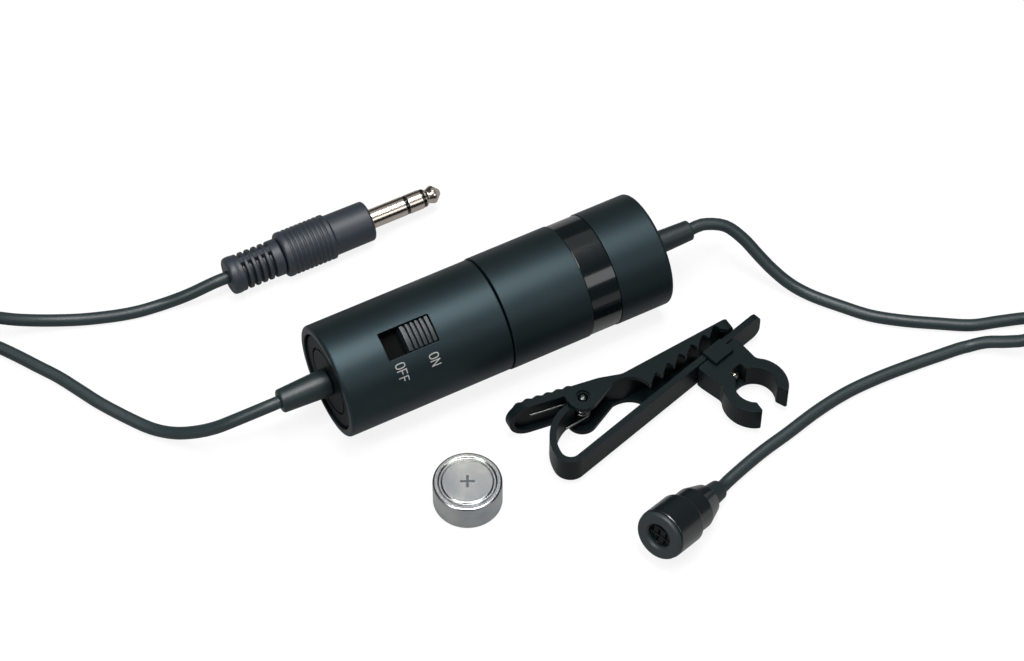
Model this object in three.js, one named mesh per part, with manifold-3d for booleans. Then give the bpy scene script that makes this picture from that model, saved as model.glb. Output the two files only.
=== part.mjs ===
// A clip-on lavalier microphone set: an in-line power module, its microphone capsule and plug on
// their leads, the tie clip with its holder, and the button cell that lies beside it.
// Millimetres, +Z up, X along the module. The origin is under the middle of the rigid pieces.
import * as THREE from "three";
import { mergeVertices } from "three/addons/utils/BufferGeometryUtils.js";
import Module from "manifold-3d";

const wasm = await Module();
wasm.setup();

// Shared fits
const fit = 0.3; // gap between pieces that seat in each other
const slip = 0.15; // gap between flat pieces that slide on each other
const roundSides = 28;
const smallSides = 16;
const capsuleSides = 24;
const gripSides = 24;
const ribSides = 16;
const wireSides = 5;

// Power module
const housingRadius = 10;
const sleeveStep = 0.15; // how far the sleeve stands outside the housing
const housingLength = 30.3;
const sleeveLength = 30.6;
const shellWall = 2;
const sleeveWall = 1.5;
const rimBevel = 0.7;
const seamGap = 0.3;
const endPocketWall = 1.4;
const endPlateThickness = 2;
const endPlateRecess = 0.4;
const endPlateGrooveRadius = 5.7;
const endPlateGroove = 0.35;
const bandStart = 15;
const bandWidth = 5.6;
const bandRecess = 0.12;
const bandThickness = 0.35;

// Strain reliefs of the module
const outputReliefRoot = 2.45;
const outputReliefTip = 2.05;
const outputReliefLength = 9;
const micReliefRoot = 2.1;
const micReliefTip = 1.8;
const micReliefLength = 9.2;
const reliefNeck = 1.7;
const reliefHead = 3.2;
const reliefHeadThickness = 1;
const cordRadius = 1.1;

// Switch
const switchAngle = 24.3; // degrees from the top towards -Y
const windowMiddle = -16.7;
const windowLength = 9.2;
const windowWidth = 4.9;
const windowGap = 0.2;
const knobLength = 5.2;
const knobRidges = 6;
const knobRidgeDepth = 0.45;
const knobFlangeThickness = 0.7;
const knobFlangeWidth = 6.4;
const pegLength = 1.6;
const pegWidth = 1.2;
const pegDepth = 1.2;
const switchCanLength = 10.4;
const switchCanWidth = 5.6;
const switchCanHeight = 3.2;

// Circuit board and what it carries
const boardTop = 2.2;
const boardThickness = 1;
const capacitorRadius = 2;
const capacitorLength = 5.2;
const resistorRadius = 0.9;
const resistorLength = 4.4;

// Battery compartment
const cellRadius = 5.8;
const cellHeight = 5.4;
const cupBase = 4;
const threadClearance = 0.4; // between the sleeve's bore and the thread
const collarLength = 6;
const threadHeight = 0.35;
const threadPitch = 2;
const contactThickness = 0.3;
const contactRadius = 4;
const springWire = 0.25;
const springTurns = 3;
const springWide = 2.8;
const springNarrow = 1.6;
const springLength = 3.6;
const spoolDisc = 1.6;
const spoolStem = 3.2;
const spoolBore = 1.6;

// Button cell
const cellWall = 0.25;
const cellGasket = 0.45;
const cellCapHeight = 4.4;
const cellGap = 0.05;
const cellPlace = [-17.1, -25.7];

// Capsule
const capsuleRadius = 4.4;
const capsuleFront = 6;
const bezelRadius = 4.25;
const bezelThickness = 0.8;
const bezelOpening = 2.15;
const capsuleWall = 0.9;
const rearRadius = 3.75;
const rearStraight = 3.4;
const rearTaper = 3.6;
const rearEnd = 2.7;
const rearWall = 0.8;
const capsuleReliefRoot = 2;
const capsuleReliefTip = 1.7;
const capsuleReliefLength = 3.4;
const reliefRounding = 0.35;
const grilleThickness = 0.4;
const grilleBar = 0.3;
const grilleRim = 0.5;
const feltThickness = 0.8;
const electretRadius = 3;
const electretLength = 3;
const capsuleHeading = 22; // degrees
const capsuleFace = [4.9, -50.4];

// Plug
const plugRadius = 1.75;
const plugLength = 14;
const plugTipLength = 3.1;
const plugTipWaist = 1.25;
const plugContactLength = 2.7;
const plugInsulator = 0.6;
const plugCore = 0.8;
const plugShank = 6;
const gripRadius = 3.7;
const gripRibRadius = 4.1;
const gripSmooth = 7.5;
const gripRibbed = 9.5;
const plugReliefRadius = 3.3;
const plugReliefCollar = 3.4;
const plugReliefLength = 10;
const plugReliefRibs = 5;
const plugReliefCore = 2.2;
const plugReliefTongue = 3;
const plugTipPlace = [7, 32.2];

// Clip
const pivotPlace = [7.2, -20.7];
const clipWidth = 7.5;
const plateThickness = 0.9;
const backThickness = 0.7;
const clipSideGap = 0.25;
const stripThickness = 1.15;
const heelFromPivot = [-6.45, -7.7];
const heelRadius = 2.3;
const bladeAngle = 16.1; // degrees
const bladeLength = 42.8;
const bladeCorner = 1.6;
const eyeRadius = 1.5;
const pinRadius = 0.75;
const pinClearance = 0.12;
const pinRecessRadius = 1.2;
const pinRecessDepth = 0.45;
const bossRadius = 2.7;
const gripReach = 12.5;
const gripBackAtPivot = 2.55;
const gripSlope = 6.93; // degrees
const gripFlange = 1.5;
const gripRidges = 7;
const gripRidgeHeight = 0.35;
const gripRidgePitch = 1.5;
const waistPlace = [8, 0.95];
const jawReach = 29.4;
const jawRise = 2;
const jawGap = 0.15;
const toothCount = 7;
const toothStart = 11;
const toothPitch = 2.73;
const toothGap = 1.1;
const toothDepth = 1.25;
// One tooth's hollow, as shares of the pitch and of the depth
const toothWave = [[0.35, 0.46], [0.64, 0.95], [0.81, 1], [0.91, 0.63]];
const archTop = [6.9, 0.2];
const neckSlope = 28; // degrees, from the boss up to the arch
const neckDrop = 0.07;
const clipSpringWire = 0.2;
const clipSpringRadius = 1.2;
const clipSpringPitch = 0.84;
const earWidth = 1.2;

// Microphone holder on the clip
const holderOffset = 31.6; // along the blade
const holderBase = 9;
const holderWidth = 4.9;
const holderReach = 9.4;
const holderInner = 3.6;
const holderOuter = 5.6;
const holderMouth = 5;
const holderNotch = [2.6, 4.9];
const lugLength = 4.2;
const lugReach = 2.1;
const lugThickness = 0.7;
const rivetShank = 0.6;
const rivetHead = 1;
const rivetHeadThickness = 0.5;

// Leads
const leadSides = 8;
const coilSides = 5;
const coilSteps = 20;
const coilMiddleRadius = 13.2; // 12 cord diameters across
const coilPitch = 2.65;
const coilLayers = 4;
const tieThickness = 0.5;
const tieWidth = 2.4;
const outputCoilTurns = 19.8;
const outputCoilStart = 43.5; // degrees from +X
const micCoilTurns = 12.8;
const micCoilStart = -137.7;

const sleeveRadius = housingRadius + sleeveStep;
const axisHeight = sleeveRadius;
const heelPlace = [pivotPlace[0] + heelFromPivot[0], pivotPlace[1] + heelFromPivot[1]];
const radians = THREE.MathUtils.degToRad;
const group = new THREE.Group();

// Solids

function toSolid(geometry) {
  const bare = geometry.clone();
  bare.deleteAttribute("normal");
  bare.deleteAttribute("uv");
  const merged = mergeVertices(bare, 1e-4);
  const made = new wasm.Manifold(
    new wasm.Mesh({
      numProp: 3,
      vertProperties: merged.attributes.position.array,
      triVerts: new Uint32Array(merged.index.array),
    }),
  );
  if (made.volume() >= 0) return made;
  const turned = merged.index.array.slice().reverse();
  return new wasm.Manifold(
    new wasm.Mesh({
      numProp: 3,
      vertProperties: merged.attributes.position.array,
      triVerts: new Uint32Array(turned),
    }),
  );
}

function toGeometry(solid) {
  const mesh = solid.getMesh();
  const geometry = new THREE.BufferGeometry();
  geometry.setAttribute("position", new THREE.BufferAttribute(mesh.vertProperties, 3));
  geometry.setIndex(new THREE.BufferAttribute(mesh.triVerts, 1));
  geometry.computeVertexNormals();
  return geometry;
}

function add(name, shape, finish, parent = group) {
  const solid = shape.isBufferGeometry ? toSolid(shape) : shape;
  const mesh = new THREE.Mesh(toGeometry(solid), new THREE.MeshStandardMaterial(finish));
  mesh.name = name;
  parent.add(mesh);
  return mesh;
}

// A body turned about the X axis, from [x, radius] points.
function turned(points, sides = roundSides) {
  const profile = points.map(([x, radius]) => new THREE.Vector2(radius, x));
  return new THREE.LatheGeometry(profile, sides).rotateZ(-Math.PI / 2);
}

// The same, closed on itself round a bore.
function turnedRing(points, sides = roundSides) {
  return turned([...points, points[0]], sides);
}

// A flat outline in X and Y, from height low to height high.
function raised(outline, low, high) {
  const shape = outline instanceof THREE.Shape ? outline : new THREE.Shape(outline);
  const options = { depth: high - low, bevelEnabled: false, curveSegments: 7 };
  return new THREE.ExtrudeGeometry(shape, options).translate(0, 0, low);
}

function block(x, y, z) {
  return new THREE.BoxGeometry(x[1] - x[0], y[1] - y[0], z[1] - z[0])
    .translate((x[0] + x[1]) / 2, (y[0] + y[1]) / 2, (z[0] + z[1]) / 2);
}

function post(radius, low, high, x, y, sides = smallSides) {
  return new THREE.CylinderGeometry(radius, radius, high - low, sides)
    .rotateX(Math.PI / 2)
    .translate(x, y, (low + high) / 2);
}

function tube(curve, steps, radius, sides) {
  const section = new THREE.Shape();
  for (let i = 0; i <= sides; i += 1) {
    const angle = (2 * Math.PI * i) / sides;
    const point = [radius * Math.cos(angle), radius * Math.sin(angle)];
    if (i === 0) section.moveTo(...point);
    else section.lineTo(...point);
  }
  return new THREE.ExtrudeGeometry(section, { steps, extrudePath: curve, bevelEnabled: false });
}

// Least clear distance of a tube to itself, between points more than a turn's quarter apart.
function selfGap(points, radius, apart) {
  let least = Infinity;
  for (let i = 0; i < points.length; i += 1) {
    for (let j = i + apart; j < points.length; j += 1) {
      least = Math.min(least, points[i].distanceTo(points[j]));
    }
  }
  return least - 2 * radius;
}

// A wound tube through given points: one ring of sides for each point, with flat ends.
function woundTube(points, radius, sides) {
  const tangents = points.map((point, i) => {
    const before = points[Math.max(i - 1, 0)];
    const after = points[Math.min(i + 1, points.length - 1)];
    return after.clone().sub(before).normalize();
  });
  const positions = [];
  let up = new THREE.Vector3(0, 0, 1);
  if (Math.abs(tangents[0].z) > 0.9) up = new THREE.Vector3(1, 0, 0);
  points.forEach((point, i) => {
    const side = new THREE.Vector3().crossVectors(tangents[i], up).normalize();
    up = new THREE.Vector3().crossVectors(side, tangents[i]).normalize();
    for (let k = 0; k < sides; k += 1) {
      const angle = (2 * Math.PI * k) / sides;
      const spot = point.clone()
        .addScaledVector(side, radius * Math.cos(angle))
        .addScaledVector(up, radius * Math.sin(angle));
      positions.push(spot.x, spot.y, spot.z);
    }
  });
  const faces = [];
  for (let i = 0; i + 1 < points.length; i += 1) {
    for (let k = 0; k < sides; k += 1) {
      const a = i * sides + k;
      const b = i * sides + ((k + 1) % sides);
      faces.push(a, b, a + sides, b, b + sides, a + sides);
    }
  }
  const last = (points.length - 1) * sides;
  for (let k = 1; k + 1 < sides; k += 1) {
    faces.push(0, k + 1, k, last, last + k, last + k + 1);
  }
  const geometry = new THREE.BufferGeometry();
  geometry.setAttribute("position", new THREE.Float32BufferAttribute(positions, 3));
  geometry.setIndex(faces);
  return geometry;
}

// Finishes

const shellBlack = { color: 0x1d2527, roughness: 0.42, metalness: 0.3 };
const plasticBlack = { color: 0x14181a, roughness: 0.5, metalness: 0 };
const glossBlack = { color: 0x07090a, roughness: 0.12, metalness: 0 };
const rubberBlack = { color: 0x25292c, roughness: 0.6, metalness: 0 };
const cordBlack = { color: 0x2a2e31, roughness: 0.65, metalness: 0 };
const nickel = { color: 0xcfc6bb, roughness: 0.2, metalness: 1 };
const steel = { color: 0xa9a7a2, roughness: 0.3, metalness: 1 };
const boardGreen = { color: 0x1f5a38, roughness: 0.5, metalness: 0 };
const nylonWhite = { color: 0xd8d6cc, roughness: 0.6, metalness: 0 };
const feltGrey = { color: 0x303030, roughness: 0.95, metalness: 0 };
const resistorTan = { color: 0xc9a878, roughness: 0.5, metalness: 0 };

// Power module

const moduleGroup = new THREE.Group();
moduleGroup.position.set(0, 0, axisHeight);
group.add(moduleGroup);
const switchGroup = new THREE.Group();
switchGroup.rotation.x = radians(switchAngle);
moduleGroup.add(switchGroup);

const housingBore = housingRadius - shellWall;
const housingPocket = housingRadius - endPocketWall;
const sleeveBore = sleeveRadius - sleeveWall;
const sleevePocket = sleeveRadius - endPocketWall + 0.2;
const plateFace = -housingLength + endPlateRecess;
const plateBack = plateFace + endPlateThickness;

function switchHousing() {
  const shell = toSolid(turnedRing([
    [-housingLength, housingPocket],
    [-housingLength, housingRadius - rimBevel],
    [-housingLength + rimBevel, housingRadius],
    [-seamGap / 2, housingRadius],
    [-seamGap / 2, housingBore],
    [plateBack + slip, housingBore],
    [plateBack + slip, housingPocket],
  ]));
  const opening = block(
    [windowMiddle - windowLength / 2, windowMiddle + windowLength / 2],
    [-windowWidth / 2, windowWidth / 2],
    [0, housingRadius * 2],
  ).rotateX(radians(switchAngle));
  return shell.subtract(toSolid(opening));
}

function endPlate(face, plateRadius, hole, side) {
  const x = (depth) => face + side * depth;
  return turnedRing([
    [x(0), hole],
    [x(0), endPlateGrooveRadius],
    [x(endPlateGroove), endPlateGrooveRadius],
    [x(endPlateGroove), endPlateGrooveRadius + endPlateGroove],
    [x(0), endPlateGrooveRadius + endPlateGroove],
    [x(0), plateRadius],
    [x(endPlateThickness), plateRadius],
    [x(endPlateThickness), hole],
  ]);
}

// A relief whose head sits behind the end plate: side -1 points to -X.
function moduleRelief(face, root, tip, length, side) {
  const x = (out) => face + side * out;
  const shoulder = slip;
  return turned([
    [x(-endPlateThickness - slip - reliefHeadThickness), 0],
    [x(-endPlateThickness - slip - reliefHeadThickness), reliefHead],
    [x(-endPlateThickness - slip), reliefHead],
    [x(-endPlateThickness - slip), reliefNeck],
    [x(shoulder), reliefNeck],
    [x(shoulder), root],
    [x(length - 0.6), tip],
    [x(length), tip - 0.5],
    [x(length), 0],
  ], smallSides);
}

const reliefHole = reliefNeck + fit / 2;
add("switch_housing", switchHousing(), shellBlack, moduleGroup);
add("output_end_plate",
  endPlate(plateFace, housingPocket - fit, reliefHole, 1), plasticBlack, moduleGroup);
add("output_strain_relief",
  moduleRelief(plateFace, outputReliefRoot, outputReliefTip, outputReliefLength, -1),
  rubberBlack, moduleGroup);

// Switch: the slider is at ON, its right end against the window's right end.
const knobTravel = windowLength - knobLength - 2 * windowGap;
const knobMiddle = windowMiddle + knobTravel / 2;
const flangeTop = Math.sqrt(housingBore ** 2 - (knobFlangeWidth / 2) ** 2) - slip;
const flangeBottom = flangeTop - knobFlangeThickness;
const canTop = boardTop + switchCanHeight;

function switchSlider() {
  const flangeLength = windowLength + knobTravel;
  const flange = toSolid(block(
    [knobMiddle - flangeLength / 2, knobMiddle + flangeLength / 2],
    [-knobFlangeWidth / 2, knobFlangeWidth / 2],
    [flangeBottom, flangeTop],
  ));
  const knob = toSolid(block(
    [knobMiddle - knobLength / 2, knobMiddle + knobLength / 2],
    [-windowWidth / 2 + windowGap, windowWidth / 2 - windowGap],
    [flangeBottom, housingRadius * 2],
  ));
  const crown = toSolid(turned([
    [-housingLength, 0],
    [-housingLength, housingRadius - slip],
    [0, housingRadius - slip],
    [0, 0],
  ]));
  const peg = toSolid(block(
    [knobMiddle - pegLength / 2, knobMiddle + pegLength / 2],
    [-pegWidth / 2, pegWidth / 2],
    [canTop - pegDepth, flangeTop],
  ));
  let slider = knob.intersect(crown).add(flange).add(peg);
  const ridgePitch = knobLength / knobRidges;
  for (let i = 1; i < knobRidges; i += 1) {
    const x = knobMiddle - knobLength / 2 + i * ridgePitch;
    const groove = block(
      [x - ridgePitch / 5, x + ridgePitch / 5],
      [-windowWidth, windowWidth],
      [housingRadius - slip - knobRidgeDepth - 0.3, housingRadius * 2],
    );
    slider = slider.subtract(toSolid(groove));
  }
  return slider;
}

function slideSwitch() {
  const can = toSolid(block(
    [windowMiddle - switchCanLength / 2, windowMiddle + switchCanLength / 2],
    [-switchCanWidth / 2, switchCanWidth / 2],
    [boardTop, canTop],
  ));
  const slot = toSolid(block(
    [knobMiddle - knobTravel - pegLength / 2 - fit, knobMiddle + pegLength / 2 + fit],
    [-pegWidth / 2 - fit, pegWidth / 2 + fit],
    [canTop - pegDepth - fit, canTop + 1],
  ));
  return can.subtract(slot);
}

const boardStart = plateBack + slip + reliefHeadThickness + fit + 0.5;
const boardEnd = -seamGap / 2 - cupBase - fit;
const boardHalf = Math.sqrt((housingBore - fit) ** 2 - boardTop ** 2);
const boardBottom = boardTop - boardThickness;

add("switch_slider", switchSlider(), plasticBlack, switchGroup);
add("slide_switch", slideSwitch(), steel, switchGroup);
add("circuit_board",
  block([boardStart, boardEnd], [-boardHalf, boardHalf], [boardBottom, boardTop]),
  boardGreen, switchGroup);
add("output_capacitor",
  turned([
    [windowMiddle - capacitorLength / 2, 0],
    [windowMiddle - capacitorLength / 2, capacitorRadius],
    [windowMiddle + capacitorLength / 2, capacitorRadius],
    [windowMiddle + capacitorLength / 2, 0],
  ], smallSides).translate(0, 0, boardBottom - slip - capacitorRadius),
  glossBlack, switchGroup);
add("load_resistor",
  turned([
    [boardEnd - resistorLength - 1, 0],
    [boardEnd - resistorLength - 1, resistorRadius],
    [boardEnd - 1, resistorRadius],
    [boardEnd - 1, 0],
  ], smallSides).translate(0, 0, boardBottom - slip - resistorRadius),
  resistorTan, switchGroup);

// Battery compartment: a cup moulded in the switch half, whose collar carries the thread.
const cupFloor = -seamGap / 2;
const cupBore = cellRadius + fit;
const collarRadius = sleeveBore - threadClearance - threadHeight;
const collarEnd = cupFloor + collarLength;

function batteryCup() {
  const points = [
    [cupFloor - cupBase, 0],
    [cupFloor - cupBase, housingBore - fit],
    [cupFloor, housingBore - fit],
  ];
  for (let x = cupFloor + 0.6; x + threadPitch / 2 < collarEnd; x += threadPitch) {
    points.push([x, collarRadius]);
    points.push([x + threadPitch / 4, collarRadius + threadHeight]);
    points.push([x + threadPitch / 2, collarRadius]);
  }
  points.push([collarEnd, collarRadius], [collarEnd, cupBore], [cupFloor, cupBore], [cupFloor, 0]);
  return turned(points);
}

add("battery_cup", batteryCup(), plasticBlack, moduleGroup);
add("positive_contact",
  turned([
    [cupFloor + 0.02, 0],
    [cupFloor + 0.02, contactRadius],
    [cupFloor + contactThickness, contactRadius],
    [cupFloor + contactThickness, 0],
  ], smallSides), nickel, moduleGroup);

// The other half: sleeve, trim band and end plate turn together round the mic entry.
const sleevePlateFace = sleeveLength - endPlateRecess;
const grooveFloor = sleeveRadius - bandRecess - bandThickness - 0.02;

add("battery_sleeve",
  turnedRing([
    [seamGap / 2, sleeveBore],
    [seamGap / 2, sleeveRadius],
    [bandStart, sleeveRadius],
    [bandStart, grooveFloor],
    [bandStart + bandWidth, grooveFloor],
    [bandStart + bandWidth, sleeveRadius],
    [sleeveLength - rimBevel, sleeveRadius],
    [sleeveLength, sleeveRadius - rimBevel],
    [sleeveLength, sleevePocket],
    [sleevePlateFace - endPlateThickness - slip, sleevePocket],
    [sleevePlateFace - endPlateThickness - slip, sleeveBore],
  ]), shellBlack, moduleGroup);
add("trim_band",
  turnedRing([
    [bandStart + 0.1, grooveFloor + 0.02],
    [bandStart + 0.1, sleeveRadius - bandRecess],
    [bandStart + bandWidth - 0.1, sleeveRadius - bandRecess],
    [bandStart + bandWidth - 0.1, grooveFloor + 0.02],
  ]), glossBlack, moduleGroup);
add("sleeve_end_plate",
  endPlate(sleevePlateFace, sleevePocket - fit / 2, reliefHole, -1), plasticBlack, moduleGroup);
add("mic_strain_relief",
  moduleRelief(sleevePlateFace, micReliefRoot, micReliefTip, micReliefLength, 1),
  rubberBlack, moduleGroup);

// The spool reaches from behind the mic relief to the spring that presses on the cell.
const spoolBack = sleevePlateFace - endPlateThickness - slip - reliefHeadThickness - fit;
const cellTopInCup = cupFloor + contactThickness + cellHeight;
const spoolFront = cellTopInCup + springLength + fit;
const spoolDiscRadius = sleeveBore - fit;

add("contact_spool",
  turnedRing([
    [spoolFront, spoolBore],
    [spoolFront, spoolDiscRadius],
    [spoolFront + spoolDisc, spoolDiscRadius],
    [spoolFront + spoolDisc, spoolStem],
    [spoolBack - spoolDisc, spoolStem],
    [spoolBack - spoolDisc, spoolDiscRadius],
    [spoolBack, spoolDiscRadius],
    [spoolBack, spoolBore],
  ]), plasticBlack, moduleGroup);

function negativeSpring() {
  const steps = 8 * springTurns;
  const points = [];
  for (let i = 0; i <= steps; i += 1) {
    const share = i / steps;
    const angle = 2 * Math.PI * springTurns * share;
    const radius = springWide + (springNarrow - springWide) * share;
    const x = spoolFront - 0.1 - springWire - (springLength - 2 * springWire) * share;
    points.push(new THREE.Vector3(x, radius * Math.cos(angle), radius * Math.sin(angle)));
  }
  console.log("negative spring self-gap", selfGap(points, springWire, 6).toFixed(2), "mm");
  return woundTube(points, springWire, wireSides);
}
add("negative_contact_spring", negativeSpring(), nickel, moduleGroup);

// Button cell, positive face up

const cellGroup = new THREE.Group();
cellGroup.position.set(cellPlace[0], cellPlace[1], 0);
cellGroup.rotation.y = -Math.PI / 2; // the cell's own X becomes up
group.add(cellGroup);
const canInner = cellRadius - cellWall;
const gasketInner = canInner - cellGap - cellGasket;
const rimFold = 0.35;

add("cell_can",
  turned([
    [cellHeight, 0],
    [cellHeight, cellRadius - 1.1],
    [cellHeight - 0.12, cellRadius - 0.9],
    [cellHeight, cellRadius - 0.7],
    [cellHeight, cellRadius - 0.35],
    [cellHeight - 0.35, cellRadius],
    [rimFold, cellRadius],
    [0.1, cellRadius - 0.3],
    [0.1, canInner],
    [cellHeight - cellWall, canInner],
    [cellHeight - cellWall, 0],
  ]), steel, cellGroup);
add("cell_gasket",
  turnedRing([
    [0.12, canInner - cellGap],
    [cellCapHeight, canInner - cellGap],
    [cellCapHeight, gasketInner],
    [0.12, gasketInner],
  ]), nylonWhite, cellGroup);
add("cell_cap",
  turned([
    [0, 0],
    [0, gasketInner - cellGap - 0.35],
    [0.35, gasketInner - cellGap],
    [cellCapHeight - 0.1, gasketInner - cellGap],
    [cellCapHeight - 0.1, gasketInner - cellGap - cellWall],
    [cellWall + 0.1, gasketInner - cellGap - cellWall],
    [cellWall + 0.1, 0],
  ]), steel, cellGroup);

// Capsule
// It lies on the back edge of its rear housing and on the end of its relief.

const frontEnd = bezelThickness + capsuleFront;
const rearStart = frontEnd + slip / 2;
const rearStop = rearStart + rearStraight + rearTaper;
const capsuleLength = rearStop + capsuleReliefLength;
const rearEdge = rearStart + rearStraight;
const reliefEdge = capsuleLength - reliefRounding;
const capsuleTilt = Math.atan((rearRadius - capsuleReliefTip) / (reliefEdge - rearEdge));
const capsuleGroup = new THREE.Group();
capsuleGroup.rotation.order = "ZYX";
capsuleGroup.rotation.z = radians(capsuleHeading);
capsuleGroup.rotation.y = capsuleTilt;
capsuleGroup.position.set(
  capsuleFace[0],
  capsuleFace[1],
  reliefEdge * Math.sin(capsuleTilt) + capsuleReliefTip * Math.cos(capsuleTilt),
);
group.add(capsuleGroup);
const frontBore = capsuleRadius - capsuleWall;
const grilleFace = bezelThickness + slip;
const feltFace = grilleFace + grilleThickness + slip;
const electretFace = feltFace + feltThickness + slip;

function grille() {
  const disc = toSolid(turned([
    [grilleFace, 0],
    [grilleFace, frontBore - slip],
    [grilleFace + grilleThickness, frontBore - slip],
    [grilleFace + grilleThickness, 0],
  ], capsuleSides));
  const cells = 3;
  const reach = bezelOpening - 0.1;
  const cellSize = (2 * reach) / cells;
  let made = disc;
  for (let i = 0; i < cells; i += 1) {
    for (let j = 0; j < cells; j += 1) {
      const y = -reach + (i + 0.5) * cellSize;
      const z = -reach + (j + 0.5) * cellSize;
      const half = cellSize / 2 - grilleBar / 2;
      const corner = i !== 1 && j !== 1 ? grilleRim / 2 : 0;
      const hole = block(
        [grilleFace - 1, grilleFace + 1],
        [y - half + (i === 0 ? corner : 0), y + half - (i === cells - 1 ? corner : 0)],
        [z - half + (j === 0 ? corner : 0), z + half - (j === cells - 1 ? corner : 0)],
      );
      made = made.subtract(toSolid(hole));
    }
  }
  return made;
}

add("capsule_bezel",
  turnedRing([
    [0, bezelOpening + 0.3],
    [0, bezelRadius - 0.3],
    [0.3, bezelRadius],
    [bezelThickness, bezelRadius],
    [bezelThickness, bezelOpening],
    [0.3, bezelOpening],
  ], capsuleSides), rubberBlack, capsuleGroup);
add("capsule_grille", grille(), plasticBlack, capsuleGroup);
add("capsule_felt",
  turned([
    [feltFace, 0],
    [feltFace, frontBore - slip],
    [feltFace + feltThickness, frontBore - slip],
    [feltFace + feltThickness, 0],
  ], capsuleSides), feltGrey, capsuleGroup);
add("electret_cartridge",
  turned([
    [electretFace, 0],
    [electretFace, electretRadius],
    [electretFace + electretLength, electretRadius],
    [electretFace + electretLength, 0],
  ], capsuleSides), steel, capsuleGroup);
add("capsule_front_housing",
  turnedRing([
    [bezelThickness + 0.05, frontBore],
    [bezelThickness + 0.05, capsuleRadius - 0.3],
    [bezelThickness + 0.35, capsuleRadius],
    [frontEnd - 0.3, capsuleRadius],
    [frontEnd, capsuleRadius - 0.3],
    [frontEnd, frontBore],
  ], capsuleSides), glossBlack, capsuleGroup);

const spigotRadius = frontBore - slip;
const cartridgeStop = electretFace + electretLength + slip;
add("capsule_rear_housing",
  turnedRing([
    [cartridgeStop, capsuleReliefRoot],
    [cartridgeStop, spigotRadius],
    [rearStart, spigotRadius],
    [rearStart, rearRadius],
    [rearStart + rearStraight, rearRadius],
    [rearStop - 0.3, rearEnd],
    [rearStop, rearEnd - 0.4],
    [rearStop, reliefNeck - 0.35],
    [rearStop - rearWall, reliefNeck - 0.35],
    [rearStop - rearWall, capsuleReliefRoot],
  ], capsuleSides), glossBlack, capsuleGroup);
add("capsule_strain_relief",
  turned([
    [rearStop - rearWall - slip - 0.8, 0],
    [rearStop - rearWall - slip - 0.8, capsuleReliefRoot - slip],
    [rearStop - rearWall - slip, capsuleReliefRoot - slip],
    [rearStop - rearWall - slip, reliefNeck - 0.5],
    [rearStop + slip / 2, reliefNeck - 0.5],
    [rearStop + slip / 2, capsuleReliefRoot],
    [reliefEdge, capsuleReliefTip],
    [capsuleLength, capsuleReliefTip - reliefRounding],
    [capsuleLength, 0],
  ], capsuleSides), rubberBlack, capsuleGroup);

// Plug

const plugGroup = new THREE.Group();
plugGroup.position.set(plugTipPlace[0], plugTipPlace[1], gripRibRadius);
plugGroup.rotation.z = Math.PI; // the plug's own X runs from the tip to the cord
group.add(plugGroup);
const ringStart = plugTipLength + plugInsulator;
const ringEnd = ringStart + plugContactLength;
const shankStart = ringEnd + plugInsulator;

function washer(from, to, outer, inner) {
  return turnedRing([[from, inner], [from, outer], [to, outer], [to, inner]], smallSides);
}

add("plug_tip",
  turned([
    [0, 0],
    [0.15, 0.55],
    [1.1, plugRadius - 0.15],
    [1.6, plugRadius - 0.15],
    [2.5, plugTipWaist],
    [plugTipLength, plugRadius - 0.1],
    [plugTipLength, plugCore],
    [plugLength + plugShank, plugCore],
    [plugLength + plugShank, 0],
  ], smallSides), nickel, plugGroup);
add("plug_tip_insulator",
  washer(plugTipLength, ringStart, plugRadius - 0.1, plugCore + 0.05), glossBlack, plugGroup);
add("plug_ring",
  washer(ringStart, ringEnd, plugRadius, plugCore + 0.05), nickel, plugGroup);
add("plug_ring_insulator",
  washer(ringEnd, shankStart, plugRadius - 0.05, plugCore + 0.05), glossBlack, plugGroup);
add("plug_sleeve",
  turnedRing([
    [shankStart, plugCore + 0.05],
    [shankStart, plugRadius],
    [plugLength - 0.05, plugRadius],
    [plugLength - 0.05, plugRadius + 0.4],
    [plugLength + plugShank - 0.5, plugRadius + 0.4],
    [plugLength + plugShank - 0.5, plugCore + 0.05],
  ], smallSides), nickel, plugGroup);

const gripEnd = plugLength + gripSmooth + gripRibbed;
const pocketEnd = plugLength + plugShank + fit;
add("plug_grip",
  turned([
    [pocketEnd, 0],
    [pocketEnd, plugRadius + 0.5],
    [plugLength + 0.6, plugRadius + 0.5],
    [plugLength, plugRadius + 0.5],
    [plugLength, gripRadius - 0.5],
    [plugLength + 0.5, gripRadius],
    [plugLength + gripSmooth, gripRadius],
    [plugLength + gripSmooth + 0.4, gripRibRadius],
    [gripEnd - 0.6, gripRibRadius],
    [gripEnd, gripRibRadius - 0.6],
    [gripEnd, plugReliefTongue / 2 + fit],
    [gripEnd - plugReliefTongue, plugReliefTongue / 2 + fit],
    [gripEnd - plugReliefTongue, 0],
  ], gripSides), rubberBlack, plugGroup);

function plugRelief() {
  const start = gripEnd + slip;
  const points = [
    [gripEnd - plugReliefTongue + fit, 0],
    [gripEnd - plugReliefTongue + fit, plugReliefTongue / 2],
    [start, plugReliefTongue / 2],
    [start, plugReliefRadius],
  ];
  const collar = 1.8;
  const ribPitch = (plugReliefLength - 2 * collar) / plugReliefRibs;
  for (let i = 0; i < plugReliefRibs; i += 1) {
    const x = start + collar + i * ribPitch;
    points.push([x, plugReliefRadius]);
    points.push([x, plugReliefCore]);
    points.push([x + ribPitch * 0.45, plugReliefCore]);
    points.push([x + ribPitch * 0.45, plugReliefRadius]);
  }
  points.push([start + plugReliefLength - collar, plugReliefRadius]);
  points.push([start + plugReliefLength - 0.7, plugReliefCollar]);
  points.push([start + plugReliefLength, plugReliefCollar - 0.7]);
  points.push([start + plugReliefLength, 0]);
  return turned(points, ribSides);
}
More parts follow.
